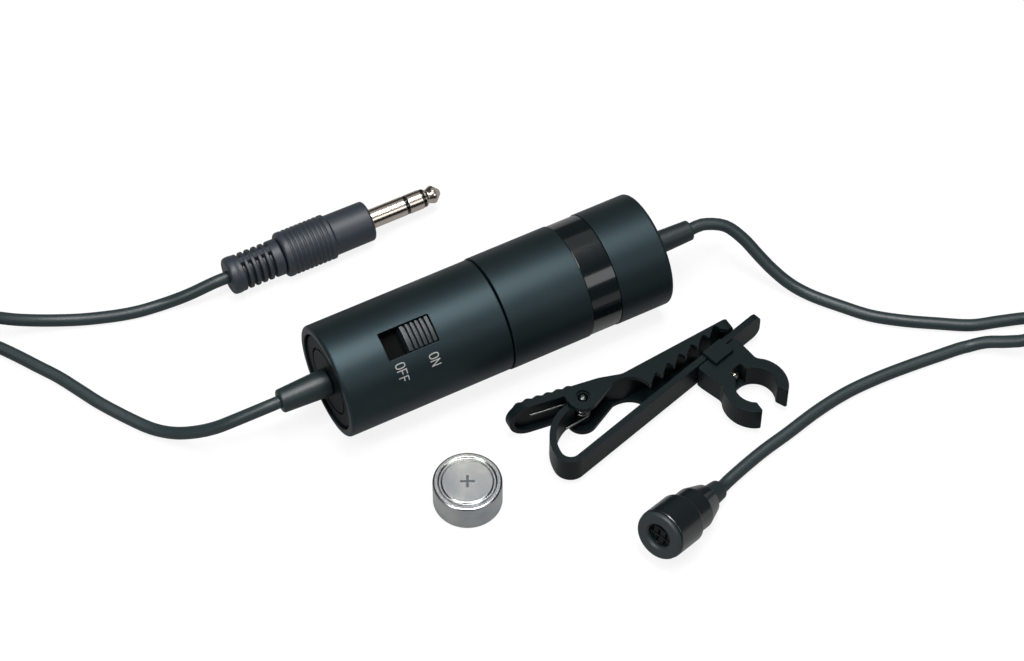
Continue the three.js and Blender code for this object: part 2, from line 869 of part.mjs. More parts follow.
add("plug_strain_relief", plugRelief(), rubberBlack, plugGroup);

// Clip

const stripLow = plateThickness + clipSideGap;
const stripHigh = clipWidth - stripLow;
const bladeTurn = radians(bladeAngle);
const along = new THREE.Vector2(Math.cos(bladeTurn), Math.sin(bladeTurn));
const across = new THREE.Vector2(Math.sin(bladeTurn), -Math.cos(bladeTurn)); // out of the clip
const bladeRoot = new THREE.Vector2(...heelPlace).addScaledVector(across, heelRadius);
const halfStrip = stripThickness / 2;

// A point by its distance along the blade and out from the blade's middle.
function bladePoint(distance, out) {
  return bladeRoot.clone().addScaledVector(along, distance).addScaledVector(across, out);
}

// Height of the blade's gripping face above or below the pivot, at a distance x from it.
function bladeFaceAt(x) {
  const start = bladePoint(0, -halfStrip);
  return start.y + (x + pivotPlace[0] - start.x) * Math.tan(bladeTurn) - pivotPlace[1];
}

const stemStartX = heelPlace[0] - heelRadius;
const stemRun = pivotPlace[0] - stemStartX;
const stemRise = pivotPlace[1] - heelPlace[1];
const stemRadius = (stemRun ** 2 + stemRise ** 2) / (2 * stemRun);
const stemCentre = [stemStartX + stemRadius, heelPlace[1]];
const stemEnd = Math.atan2(stemRise, pivotPlace[0] - stemCentre[0]);

function clipStrip() {
  const outline = new THREE.Shape();
  outline.absarc(...stemCentre, stemRadius + halfStrip, stemEnd, Math.PI, false);
  outline.absarc(...heelPlace, heelRadius + halfStrip, Math.PI, 1.5 * Math.PI + bladeTurn, false);
  outline.lineTo(...bladePoint(bladeLength, halfStrip));
  outline.lineTo(...bladePoint(bladeLength, -halfStrip));
  outline.absarc(...heelPlace, heelRadius - halfStrip, 1.5 * Math.PI + bladeTurn, Math.PI, true);
  outline.absarc(...stemCentre, stemRadius - halfStrip, Math.PI, stemEnd, true);
  outline.closePath();
  let strip = toSolid(raised(outline, stripLow, stripHigh));
  strip = strip.add(toSolid(post(eyeRadius, stripLow, stripHigh, ...pivotPlace)));
  for (const low of [stripLow - lugThickness, stripHigh - 0.05]) {
    const lug = new THREE.Shape([
      bladePoint(holderOffset - lugLength / 2, -halfStrip + 0.05),
      bladePoint(holderOffset + lugLength / 2, -halfStrip + 0.05),
      bladePoint(holderOffset + lugLength / 2, halfStrip + lugReach),
      bladePoint(holderOffset - lugLength / 2, halfStrip + lugReach),
    ]);
    strip = strip.add(toSolid(raised(lug, low, low + lugThickness + 0.05)));
  }
  const springRoom = clipSpringRadius + clipSpringWire + fit;
  const middle = (stripLow + earWidth + stripHigh - earWidth) / 2;
  const room = (stripHigh - stripLow) / 2 - earWidth;
  strip = strip.subtract(toSolid(
    post(springRoom + 0.2, middle - room, middle + room, ...pivotPlace)));
  strip = strip.subtract(toSolid(
    post(pinRadius + pinClearance, -1, clipWidth + 1, ...pivotPlace)));
  const hole = new THREE.CylinderGeometry(rivetShank + slip, rivetShank + slip, 8, smallSides)
    .rotateZ(bladeTurn);
  const spot = bladePoint(holderOffset, 0);
  strip = strip.subtract(toSolid(hole.translate(spot.x, spot.y, clipWidth / 2)));
  // The blade's end has cut corners, seen from its flat side.
  for (const [edge, inward] of [[stripLow, 1], [stripHigh, -1]]) {
    const a = bladePoint(bladeLength - bladeCorner, 0);
    const cut = new THREE.Shape([
      new THREE.Vector2(0, edge - inward),
      new THREE.Vector2(0, edge),
      new THREE.Vector2(bladeCorner, edge + inward * bladeCorner),
      new THREE.Vector2(bladeCorner + 1, edge + inward * bladeCorner),
      new THREE.Vector2(bladeCorner + 1, edge - inward),
    ]);
    const wedge = raised(cut, -stripThickness, stripThickness)
      .rotateX(Math.PI / 2)
      .rotateZ(bladeTurn)
      .translate(a.x, a.y, 0);
    strip = strip.subtract(toSolid(wedge));
  }
  return strip;
}

// The lever's outline, about the pivot.
function gripBack(x) {
  return gripBackAtPivot - x * Math.tan(radians(gripSlope));
}

function leverOutline() {
  const points = [];
  const spot = (x, y) => points.push(new THREE.Vector2(x, y));
  const ridgesStart = -gripReach + 1.2;
  spot(-gripReach, gripBack(-gripReach));
  for (let i = 0; i < gripRidges; i += 1) {
    const x = ridgesStart + i * gripRidgePitch;
    spot(x, gripBack(x));
    spot(x + gripRidgePitch * 0.35, gripBack(x) + gripRidgeHeight);
    spot(x + gripRidgePitch * 0.7, gripBack(x));
  }
  spot(waistPlace[0] / 2, gripBack(waistPlace[0] / 2));
  spot(...waistPlace);
  spot(jawReach, waistPlace[1] + jawRise);
  const lipBottom = bladeFaceAt(jawReach) + jawGap / Math.cos(bladeTurn);
  spot(jawReach + 0.3, lipBottom);
  spot(jawReach - 1, lipBottom - Math.tan(bladeTurn) * 1.2);
  const crest = (i) => bladeFaceAt(toothStart + i * toothPitch) + toothGap;
  for (let i = toothCount - 1; i > 0; i -= 1) {
    spot(toothStart + i * toothPitch, crest(i));
    for (const [share, rise] of [...toothWave].reverse()) {
      const height = crest(i - 1) + (crest(i) - crest(i - 1)) * share;
      spot(toothStart + (i - 1 + share) * toothPitch, height + rise * toothDepth);
    }
  }
  // The arch is a quarter of an ellipse from the first tooth's crest up to the neck.
  for (let k = 0; k <= 5; k += 1) {
    const turn = radians(90 * (k / 5));
    spot(
      archTop[0] + (toothStart - archTop[0]) * Math.cos(turn),
      crest(0) + (archTop[1] - crest(0)) * Math.sin(turn),
    );
  }
  // A straight neck, tangent to the boss, and the boss round to the finger end.
  const leave = neckSlope - 90;
  const neckTop = archTop[1] - neckDrop;
  const neckRise = neckTop - bossRadius * Math.sin(radians(leave));
  spot(bossRadius * Math.cos(radians(leave)) + neckRise / Math.tan(radians(neckSlope)), neckTop);
  for (let k = 0; k <= 6; k += 1) {
    const turn = radians(leave - (170 + leave) * (k / 6));
    spot(bossRadius * Math.cos(turn), bossRadius * Math.sin(turn));
  }
  const flangeEnd = -bossRadius * 1.02;
  spot(flangeEnd, gripBack(flangeEnd) - gripFlange);
  spot(-gripReach, gripBack(-gripReach) - gripFlange);
  return new THREE.Shape(points);
}

function leverRoom() {
  const points = [];
  const low = -toothGap * 8;
  points.push(new THREE.Vector2(-gripReach, gripBack(-gripReach) - backThickness));
  const knee = waistPlace[0] / 2;
  points.push(new THREE.Vector2(knee, gripBack(knee) - backThickness));
  points.push(new THREE.Vector2(waistPlace[0], waistPlace[1] - backThickness));
  points.push(new THREE.Vector2(jawReach, waistPlace[1] + jawRise - backThickness));
  points.push(new THREE.Vector2(jawReach, low));
  points.push(new THREE.Vector2(-gripReach, low));
  return new THREE.Shape(points);
}

// The lever seen on its back: round at the finger end, with small corners at the jaw.
function leverBack(inset) {
  const left = -gripReach + inset;
  const right = jawReach + 0.4 - inset;
  const low = inset;
  const high = clipWidth - inset;
  const round = (high - low) / 2 - 0.05;
  const corner = 1.4 - inset;
  const shape = new THREE.Shape();
  shape.moveTo(left + round, low);
  shape.lineTo(right - corner, low);
  shape.lineTo(right, low + corner);
  shape.lineTo(right, high - corner);
  shape.lineTo(right - corner, high);
  shape.lineTo(left + round, high);
  shape.absarc(left + round, high - round, round, Math.PI / 2, Math.PI, false);
  shape.absarc(left + round, low + round, round, Math.PI, 1.5 * Math.PI, false);
  const options = { depth: 24, bevelEnabled: false, curveSegments: 6 };
  return toSolid(new THREE.ExtrudeGeometry(shape, options).rotateX(Math.PI / 2).translate(0, 12, 0));
}

function clipLever() {
  const outer = toSolid(raised(leverOutline(), 0, clipWidth)).intersect(leverBack(0));
  const inner = toSolid(raised(leverRoom(), plateThickness, clipWidth - plateThickness))
    .intersect(leverBack(plateThickness));
  let lever = outer.subtract(inner);
  lever = lever.subtract(toSolid(post(pinRadius + slip, -1, clipWidth + 1, 0, 0)));
  for (const [low, high] of [[-1, pinRecessDepth], [clipWidth - pinRecessDepth, clipWidth + 1]]) {
    lever = lever.subtract(toSolid(post(pinRecessRadius, low, high, 0, 0)));
  }
  return lever;
}

function clipSpring() {
  const towardsGrip = Math.PI / 2 - radians(gripSlope);
  const towardsStem = -radians(83);
  const turns = 2;
  const sweep = towardsGrip - towardsStem + 2 * Math.PI * turns;
  const rise = (clipSpringPitch * sweep) / (2 * Math.PI);
  const start = clipWidth / 2 - rise / 2;
  const points = [];
  const legs = [4.2, 9];
  const first = new THREE.Vector3(
    clipSpringRadius * Math.cos(towardsStem) + Math.sin(towardsStem) * legs[0],
    clipSpringRadius * Math.sin(towardsStem) - Math.cos(towardsStem) * legs[0],
    start,
  );
  points.push(first);
  const steps = Math.round((8 * sweep) / (2 * Math.PI));
  for (let i = 0; i <= steps; i += 1) {
    const angle = towardsStem + (sweep * i) / steps;
    points.push(new THREE.Vector3(
      clipSpringRadius * Math.cos(angle),
      clipSpringRadius * Math.sin(angle),
      start + (rise * i) / steps,
    ));
  }
  points.push(new THREE.Vector3(
    clipSpringRadius * Math.cos(towardsGrip) - Math.sin(towardsGrip) * legs[1],
    clipSpringRadius * Math.sin(towardsGrip) + Math.cos(towardsGrip) * legs[1],
    start + rise,
  ));
  console.log("clip spring self-gap", selfGap(points, clipSpringWire, 5).toFixed(2), "mm");
  return woundTube(points, clipSpringWire, wireSides);
}

function micHolder() {
  const low = (clipWidth - holderWidth) / 2;
  const high = low + holderWidth;
  const reach = halfStrip + slip;
  const centre = bladePoint(holderOffset, halfStrip + holderReach);
  const base = new THREE.Shape([
    bladePoint(holderOffset - holderBase / 2, reach),
    bladePoint(holderOffset + holderBase / 2, reach),
    bladePoint(holderOffset + holderBase / 2, reach + 1.4),
    bladePoint(holderOffset + holderOuter * 0.72, holderReach - holderOuter * 0.5),
    bladePoint(holderOffset - holderOuter * 0.72, holderReach - holderOuter * 0.5),
    bladePoint(holderOffset - holderBase / 2, reach + 1.4),
  ]);
  let holder = toSolid(raised(base, low, high));
  holder = holder.add(toSolid(post(holderOuter, low, high, centre.x, centre.y, roundSides)));
  holder = holder.subtract(toSolid(post(holderInner, -1, clipWidth, centre.x, centre.y, roundSides)));
  const middle = halfStrip + holderReach;
  const mouth = new THREE.Shape([
    bladePoint(holderOffset - 1, middle),
    bladePoint(holderOffset + 1, middle),
    bladePoint(holderOffset + holderMouth / 2, middle + holderInner),
    bladePoint(holderOffset + holderMouth / 2 + 0.6, middle + holderOuter + 1),
    bladePoint(holderOffset - holderMouth / 2 - 0.6, middle + holderOuter + 1),
    bladePoint(holderOffset - holderMouth / 2, middle + holderInner),
  ]);
  holder = holder.subtract(toSolid(raised(mouth, -1, clipWidth)));
  const notch = new THREE.Shape([
    bladePoint(holderOffset - holderNotch[0] / 2, middle - holderNotch[1]),
    bladePoint(holderOffset + holderNotch[0] / 2, middle - holderNotch[1]),
    bladePoint(holderOffset + holderNotch[0] / 2, middle),
    bladePoint(holderOffset - holderNotch[0] / 2, middle),
  ]);
  holder = holder.subtract(toSolid(raised(notch, low + 0.9, high + 1)));
  const hole = new THREE.CylinderGeometry(rivetShank + slip, rivetShank + slip, 30, smallSides)
    .rotateZ(bladeTurn)
    .translate(centre.x, centre.y, clipWidth / 2);
  const near = bladePoint(holderOffset, 0);
  const cutLength = holderReach - holderNotch[1] + 2;
  const shankHole = new THREE.CylinderGeometry(
    rivetShank + slip, rivetShank + slip, cutLength * 2, smallSides)
    .rotateZ(bladeTurn)
    .translate(near.x, near.y, clipWidth / 2);
  return holder.subtract(toSolid(shankHole).intersect(toSolid(hole)));
}

function holderRivet() {
  const inner = halfStrip + holderReach - holderNotch[1];
  const rivet = turned([
    [-halfStrip - slip - rivetHeadThickness * 0.4, 0],
    [-halfStrip - slip - rivetHeadThickness * 0.4, rivetHead],
    [-halfStrip - slip / 2, rivetHead],
    [-halfStrip - slip / 2, rivetShank],
    [inner + slip / 2, rivetShank],
    [inner + slip / 2, rivetHead],
    [inner + slip / 2 + rivetHeadThickness * 0.6, rivetHead],
    [inner + slip / 2 + rivetHeadThickness, rivetHead * 0.5],
    [inner + slip / 2 + rivetHeadThickness, 0],
  ], 20).rotateZ(bladeTurn - Math.PI / 2);
  const spot = bladePoint(holderOffset, 0);
  return rivet.translate(spot.x, spot.y, clipWidth / 2);
}

const pivotGroup = new THREE.Group();
pivotGroup.position.set(pivotPlace[0], pivotPlace[1], 0);
group.add(pivotGroup);
add("clip_band", clipStrip(), plasticBlack);
add("clip_lever", clipLever(), plasticBlack, pivotGroup);
add("clip_pivot_pin", post(pinRadius, 0.15, clipWidth - 0.15, 0, 0), steel, pivotGroup);
add("clip_spring", clipSpring(), steel, pivotGroup);
add("mic_holder", micHolder(), plasticBlack);
add("holder_rivet", holderRivet(), nickel);

// Leads

const tieLift = tieThickness + 0.1;
const coilBottom = cordRadius + tieLift;
const layersPerLap = coilLayers;

// The middle line of an anticlockwise coil whose spiral reverses at each layer.
function coilPath(centre, turns, startAngle) {
  const lap = turns / layersPerLap;
  const halfWidth = (lap * coilPitch) / 2;
  const outer = coilMiddleRadius + halfWidth;
  const inner = coilMiddleRadius - halfWidth;
  const count = Math.round(turns * coilSteps);
  const points = [];
  for (let i = 0; i <= count; i += 1) {
    const turn = (turns * i) / count;
    const place = turn / lap;
    const layer = Math.min(Math.floor(place), layersPerLap - 1);
    const within = place - layer;
    const inwards = layer % 2 === 0 ? within : 1 - within;
    let level = layer;
    const climb = 0.25 / lap;
    if (within < climb && layer > 0) level = layer - 0.5 + within / (2 * climb);
    if (1 - within < climb && layer < layersPerLap - 1) {
      level = layer + 0.5 - (1 - within) / (2 * climb);
    }
    const radius = outer + (inner - outer) * inwards;
    const angle = startAngle + 2 * Math.PI * turn;
    points.push(new THREE.Vector3(
      centre[0] + radius * Math.cos(angle),
      centre[1] + radius * Math.sin(angle),
      coilBottom + level * coilPitch,
    ));
  }
  return { points, outer, inner };
}

function polyLength(points) {
  let length = 0;
  for (let i = 1; i < points.length; i += 1) length += points[i].distanceTo(points[i - 1]);
  return length;
}

// Adds straight ends, one tube diameter long, to a coil's line.
function withStraightEnds(points) {
  const up = new THREE.Vector3(0, 0, 1);
  const run = (end, next) => end.clone().sub(next).setZ(0).normalize();
  const first = points[0];
  const last = points[points.length - 1];
  const into = run(first, points[1]).applyAxisAngle(up, -Math.PI / coilSteps);
  const out = run(last, points[points.length - 2]).applyAxisAngle(up, Math.PI / coilSteps);
  const length = 2 * cordRadius;
  return [
    first.clone().addScaledVector(into, length),
    ...points,
    last.clone().addScaledVector(out, length),
  ];
}

function addCoil(name, centre, turns, startAngle) {
  const { points, outer, inner } = coilPath(centre, turns, startAngle);
  const line = withStraightEnds(points);
  console.log(name, "self-gap", selfGap(line, cordRadius, coilSteps / 2).toFixed(2),
    "mm, length", polyLength(line).toFixed(0), "mm");
  add(name, woundTube(line, cordRadius, coilSides), cordBlack);
  return { line, outer, inner };
}

// A flat tie round the coil's bundle, at an angle of the coil.
function addTie(name, centre, coil, angle) {
  const reach = cordRadius + 0.25;
  const low = coilBottom - cordRadius - 0.06;
  const high = coilBottom + (coilLayers - 1) * coilPitch + cordRadius + 0.25;
  const near = coil.inner - reach;
  const far = coil.outer + reach;
  const ring = (grow) => [
    new THREE.Vector2(near - grow, low - grow),
    new THREE.Vector2(far + grow, low - grow),
    new THREE.Vector2(far + grow, high + grow),
    new THREE.Vector2(near - grow, high + grow),
  ];
  const shape = new THREE.Shape(ring(tieThickness));
  shape.holes.push(new THREE.Path(ring(0).reverse()));
  const geometry = new THREE.ExtrudeGeometry(shape, { depth: tieWidth, bevelEnabled: false })
    .translate(0, 0, -tieWidth / 2)
    .rotateX(Math.PI / 2)
    .rotateZ(angle)
    .translate(centre[0], centre[1], 0);
  add(name, geometry, rubberBlack);
}

// A stretch of lead along chosen points; the ends stop a small gap short of what they meet.
function addStretch(name, points) {
  const curve = new THREE.CatmullRomCurve3(points, false, "centripetal");
  const length = curve.getLength();
  const steps = Math.round(length / (cordRadius * 4.6));
  console.log(name, "length", length.toFixed(0), "mm");
  curve.arcLengthDivisions = 400;
  const spaced = curve.getSpacedPoints(steps);
  spaced.forEach((point) => point.setZ(Math.max(point.z, cordRadius)));
  add(name, woundTube(spaced, cordRadius, leadSides), cordBlack);
}

const vectors = (list) => list.map((point) => new THREE.Vector3(...point));
const joinGap = 0.3;

// Steps back from a coil's straight end, past the gap between the two solids.
function joinPoints(line, atStart) {
  const end = atStart ? line[0] : line[line.length - 1];
  const before = atStart ? line[1] : line[line.length - 2];
  const way = end.clone().sub(before).normalize();
  return [
    end.clone().addScaledVector(way, joinGap),
    end.clone().addScaledVector(way, joinGap + 2 * cordRadius),
  ];
}

const outputExit = plateFace - outputReliefLength - joinGap;
const micExit = sleevePlateFace + micReliefLength + joinGap;
const outputCoilCentre = [-101.9, 41.6];
const micCoilCentre = [110.5, -36.0];

const outputCoil = addCoil("output_lead_coil", outputCoilCentre, outputCoilTurns,
  radians(outputCoilStart));
addTie("output_coil_tie_near", outputCoilCentre, outputCoil, radians(222));
addTie("output_coil_tie_far", outputCoilCentre, outputCoil, radians(102));
const micCoil = addCoil("mic_lead_coil", micCoilCentre, micCoilTurns, radians(micCoilStart));
addTie("mic_coil_tie_near", micCoilCentre, micCoil, radians(-77));
addTie("mic_coil_tie_far", micCoilCentre, micCoil, radians(3));

const outputIn = joinPoints(outputCoil.line, true);
addStretch("output_lead_module_side", [
  ...vectors([
    [outputExit, 0, axisHeight],
    [outputExit - 2.2, 0, axisHeight],
    [-46.4, 1.2, 8.4],
    [-49.6, 2.8, 6.2],
    [-52.6, 5, 4.1],
    [-55.4, 7.6, 2.4],
    [-58, 10.7, 1.4],
    [-61.2, 15.6, 1.1],
    [-63.9, 20.2, 1.1],
    [-65.9, 24.3, 1.1],
    [-67.9, 28.3, 1.1],
    [-70.3, 32.2, 1.1],
    [-72, 35, 1.1],
    [-74.5, 38.8, 1.1],
    [-77.5, 42.7, 1.1],
    [-80.6, 46.8, 1.15],
    [-82.6, 49.6, 1.35],
  ]),
  outputIn[1],
  outputIn[0],
]);

const plugCordEnd = plugTipPlace[0] - gripEnd - slip - plugReliefLength - joinGap;
const outputOut = joinPoints(outputCoil.line, false);
addStretch("output_lead_plug_side", [
  outputOut[0],
  outputOut[1],
  ...vectors([
    [-80.6, 39.5, 9.5],
    [-78.6, 41.5, 8.6],
    [-76.1, 42.2, 7.1],
    [-73.3, 41.8, 5.4],
    [-70.2, 40.9, 3.9],
    [-66.6, 39.9, 2.6],
    [-62.8, 38.7, 1.7],
    [-59, 37.4, 1.2],
    [-53.3, 35.5, 1.1],
    [-49.9, 34.7, 1.1],
    [-45.4, 34.2, 1.1],
    [-45.4, 34.1, 1.3],
    [-41.4, 32.9, 2.7],
  ]),
  ...vectors([
    [plugCordEnd - 2.2, plugTipPlace[1], gripRibRadius],
    [plugCordEnd, plugTipPlace[1], gripRibRadius],
  ]),
]);

const micIn = joinPoints(micCoil.line, true);
addStretch("mic_lead_module_side", [
  ...vectors([
    [micExit, 0, axisHeight],
    [micExit + 2.2, 0, axisHeight],
    [45.6, -1.6, 9.4],
    [47.8, -4.4, 7.6],
    [49.2, -7.4, 5.6],
    [50.6, -10.3, 3.8],
    [52.4, -13.3, 2.2],
    [54.6, -16.3, 1.3],
    [58, -20.6, 1.1],
    [61.6, -24.9, 1.1],
    [65.9, -28.4, 1.1],
    [71, -31.8, 1.1],
    [76.1, -34.9, 1.1],
    [80.4, -36.3, 1.1],
    [85.1, -37.9, 1.1],
    [88.6, -39.5, 1.15],
    [91.7, -41.7, 1.35],
  ]),
  micIn[1],
  micIn[0],
]);

const micOut = joinPoints(micCoil.line, false);
capsuleGroup.updateMatrixWorld(true);
const capsuleEnd = (out) =>
  new THREE.Vector3(capsuleLength + out, 0, 0).applyMatrix4(capsuleGroup.matrixWorld);
addStretch("mic_lead_capsule_side", [
  micOut[0],
  micOut[1],
  ...vectors([
    [91.3, -34.9, 9.5],
    [89.6, -37.8, 8.7],
    [87.5, -40.5, 7.3],
    [84.9, -42.7, 5.9],
    [81.4, -43.7, 4.4],
    [78.7, -41.9, 3.1],
    [75.8, -39.6, 2],
    [73, -38.4, 1.1],
    [67.2, -37.7, 1.1],
    [61.6, -37.2, 1.1],
    [56, -36.9, 1.1],
    [49.8, -37, 1.1],
    [43.4, -37.9, 1.1],
    [36.2, -39.6, 1.1],
    [30, -41, 1.1],
  ]),
  capsuleEnd(joinGap + 2 * cordRadius),
  capsuleEnd(joinGap),
]);

// Origin under the middle of the rigid pieces

group.updateMatrixWorld(true);
const rigidBox = new THREE.Box3();
group.traverse((piece) => {
  if (!piece.isMesh || /^(output_lead|mic_lead|plug_|.*_coil_tie)/.test(piece.name)) return;
  const corners = piece.geometry.attributes.position.clone();
  corners.applyMatrix4(piece.matrixWorld);
  rigidBox.union(new THREE.Box3().setFromBufferAttribute(corners));
});
const middle = rigidBox.getCenter(new THREE.Vector3());
group.position.set(-middle.x, -middle.y, 0);
console.log("shift", group.position.toArray().map((v) => v.toFixed(3)).join(", "),
  "size", rigidBox.getSize(new THREE.Vector3()).toArray().map((v) => v.toFixed(2)).join(" "),
  "low", rigidBox.min.z.toFixed(3));

export default group;
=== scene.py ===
import math
import bpy
import bmesh
import numpy as np
from mathutils import Matrix, Vector


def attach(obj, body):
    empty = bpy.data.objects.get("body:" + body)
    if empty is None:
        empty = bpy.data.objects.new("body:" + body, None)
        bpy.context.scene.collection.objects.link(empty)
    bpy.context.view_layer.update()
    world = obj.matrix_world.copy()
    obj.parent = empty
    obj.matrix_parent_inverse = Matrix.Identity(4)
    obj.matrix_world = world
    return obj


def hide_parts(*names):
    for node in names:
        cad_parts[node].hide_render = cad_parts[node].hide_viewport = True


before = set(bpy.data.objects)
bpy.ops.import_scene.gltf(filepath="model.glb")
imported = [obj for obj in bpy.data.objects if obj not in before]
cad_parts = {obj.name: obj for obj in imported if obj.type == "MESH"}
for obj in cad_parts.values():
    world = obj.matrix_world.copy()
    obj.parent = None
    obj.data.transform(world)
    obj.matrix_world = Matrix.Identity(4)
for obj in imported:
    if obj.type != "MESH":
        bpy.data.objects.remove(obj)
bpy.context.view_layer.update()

mm = 0.001
toOrigin = np.array([-1.884, 22.042, 0.0])  # from the module's middle to the part's origin, in mm
tau = 2 * math.pi


# Camera
cameraSet = {"place": (-137.9, -271.6, 417.2), "forward": (0.2765, 0.5267, -0.8039), "lens": 105.47}
cameraData = bpy.data.cameras.new("camera")
cameraData.lens = cameraSet["lens"]
cameraData.sensor_width = 36
cameraData.clip_start = 0.01
cameraData.clip_end = 20
camera = bpy.data.objects.new("camera", cameraData)
bpy.context.collection.objects.link(camera)
camera.location = Vector((np.array(cameraSet["place"]) + toOrigin) * mm)
camera.rotation_euler = Vector(cameraSet["forward"]).to_track_quat("-Z", "Y").to_euler()
bpy.context.scene.camera = camera


# Frames of the groups: a turn and a place, in mm
# A turn about one axis, by the right-hand rule, as a matrix of three rows.
def turnAbout(axis, degrees):
    return np.array(Matrix.Rotation(math.radians(degrees), 3, axis))


moduleFrame = (np.eye(3), np.array([0, 0, 10.15]))
switchFrame = (turnAbout("X", 24.3), np.array([0, 0, 10.15]))
plugFrame = (turnAbout("Z", 180), np.array([7, 32.2, 4.1]))
capsuleSet = {
    "face": (4.9, -50.4), "heading": 22, "rearRadius": 3.75, "reliefTip": 1.7,
    "rearEdge": 10.275, "reliefEdge": 16.925, "length": 17.275,
}
capsuleTilt = math.atan((capsuleSet["rearRadius"] - capsuleSet["reliefTip"])
                        / (capsuleSet["reliefEdge"] - capsuleSet["rearEdge"]))
capsuleTurn = turnAbout("Z", capsuleSet["heading"]) @ turnAbout("Y", math.degrees(capsuleTilt))
capsuleRise = (capsuleSet["reliefEdge"] * math.sin(capsuleTilt)
               + capsuleSet["reliefTip"] * math.cos(capsuleTilt))
capsuleFrame = (capsuleTurn, np.array([*capsuleSet["face"], capsuleRise]))
cellFrame = (turnAbout("Y", -90), np.array([-17.1, -25.7, 0]))


# Points turned and moved by their frame, shifted to the part's origin, from mm to metres.
def placed(points, place):
    turn, spot = place
    return (np.asarray(points, float) @ turn.T + spot + toOrigin) * mm


# Leads
leadSet = {
    "radius": 1.1, "coilMiddle": 13.2, "coilPitch": 2.65, "coilLayers": 4, "coilBottom": 1.7,
    "coilSteps": 20, "sampleEvery": 1.1,
}


# A flat spiral in each layer, in and out by turns: the radius falls or grows steadily with the
# angle, and the line climbs one pitch in the half turn round each reversal.
def coilLine(centre, turns, startAngle):
    lap = turns / leadSet["coilLayers"]
    half = lap * leadSet["coilPitch"] / 2
    turn = np.linspace(0, turns, int(round(turns * leadSet["coilSteps"])) + 1)
    place = turn / lap
    layer = np.minimum(np.floor(place), leadSet["coilLayers"] - 1)
    within = place - layer
    inwards = np.where(layer % 2 == 0, within, 1 - within)
    climb = 0.25 / lap
    level = layer.copy()
    rising = (within < climb) & (layer > 0)
    leaving = (1 - within < climb) & (layer < leadSet["coilLayers"] - 1)
    level = np.where(rising, layer - 0.5 + within / (2 * climb), level)
    level = np.where(leaving, layer + 0.5 - (1 - within) / (2 * climb), level)
    radius = leadSet["coilMiddle"] + half - 2 * half * inwards
    angle = startAngle + tau * turn
    line = np.stack([
        centre[0] + radius * np.cos(angle),
        centre[1] + radius * np.sin(angle),
        leadSet["coilBottom"] + level * leadSet["coilPitch"],
    ], axis=1)
    return line, leadSet["coilMiddle"] + half, leadSet["coilMiddle"] - half


# The coil's line with a straight run, one cord diameter and a little more, added at each end.
def withEnds(line):
    # The level way from the next point to the end, turned by the bend.
    def run(end, nextPoint, bend):
        way = (end - nextPoint) * np.array([1, 1, 0])
        way /= np.linalg.norm(way)
        return np.array([way[0] * math.cos(bend) - way[1] * math.sin(bend),
                         way[1] * math.cos(bend) + way[0] * math.sin(bend), 0])

    reach = 2 * leadSet["radius"]
    into = run(line[0], line[1], -math.pi / leadSet["coilSteps"])
    out = run(line[-1], line[-2], math.pi / leadSet["coilSteps"])
    return np.vstack([
        line[0] + into * (2 * reach + 0.3), line[0] + into * reach, line,
        line[-1] + out * reach, line[-1] + out * (2 * reach + 0.3),
    ])


# A centripetal Catmull-Rom curve through the points, sampled evenly along each span.
def smoothLine(points, every):
    points = np.asarray(points, float)
    padded = np.vstack([2 * points[0] - points[1], points, 2 * points[-1] - points[-2]])
    p0, p1, p2, p3 = padded[:-3], padded[1:-2], padded[2:-1], padded[3:]
    d1 = np.sqrt(np.linalg.norm(p1 - p0, axis=1))[:, None]
    d2 = np.sqrt(np.linalg.norm(p2 - p1, axis=1))[:, None]
    d3 = np.sqrt(np.linalg.norm(p3 - p2, axis=1))[:, None]
    m1 = d2 * ((p1 - p0) / d1 - (p2 - p0) / (d1 + d2) + (p2 - p1) / d2)
    m2 = d2 * ((p2 - p1) / d2 - (p3 - p1) / (d2 + d3) + (p3 - p2) / d3)
    counts = np.maximum(np.ceil(np.linalg.norm(p2 - p1, axis=1) / every).astype(int), 1)
    span = np.repeat(np.arange(len(counts)), counts)
    step = np.arange(counts.sum()) - np.repeat(np.cumsum(counts) - counts, counts)
    t = (step / counts[span])[:, None]
    a, b, ta, tb = p1[span], p2[span], m1[span], m2[span]
    line = ((2 * t**3 - 3 * t**2 + 1) * a + (t**3 - 2 * t**2 + t) * ta
            + (-2 * t**3 + 3 * t**2) * b + (t**3 - t**2) * tb)
    return np.vstack([line, points[-1]])


# A round cord along a line of points in metres; its radius is in mm.
def addCurve(name, line, radius, resolution=4):
    curve = bpy.data.curves.new(name, "CURVE")
    curve.dimensions = "3D"
    curve.bevel_depth = radius * mm
    curve.bevel_resolution = resolution
    curve.use_fill_caps = True
    spline = curve.splines.new("POLY")
    spline.points.add(len(line) - 1)
    spline.points.foreach_set("co", np.c_[line, np.ones(len(line))].ravel())
    spline.use_smooth = True
    piece = bpy.data.objects.new(name, curve)
    bpy.context.collection.objects.link(piece)
    return piece


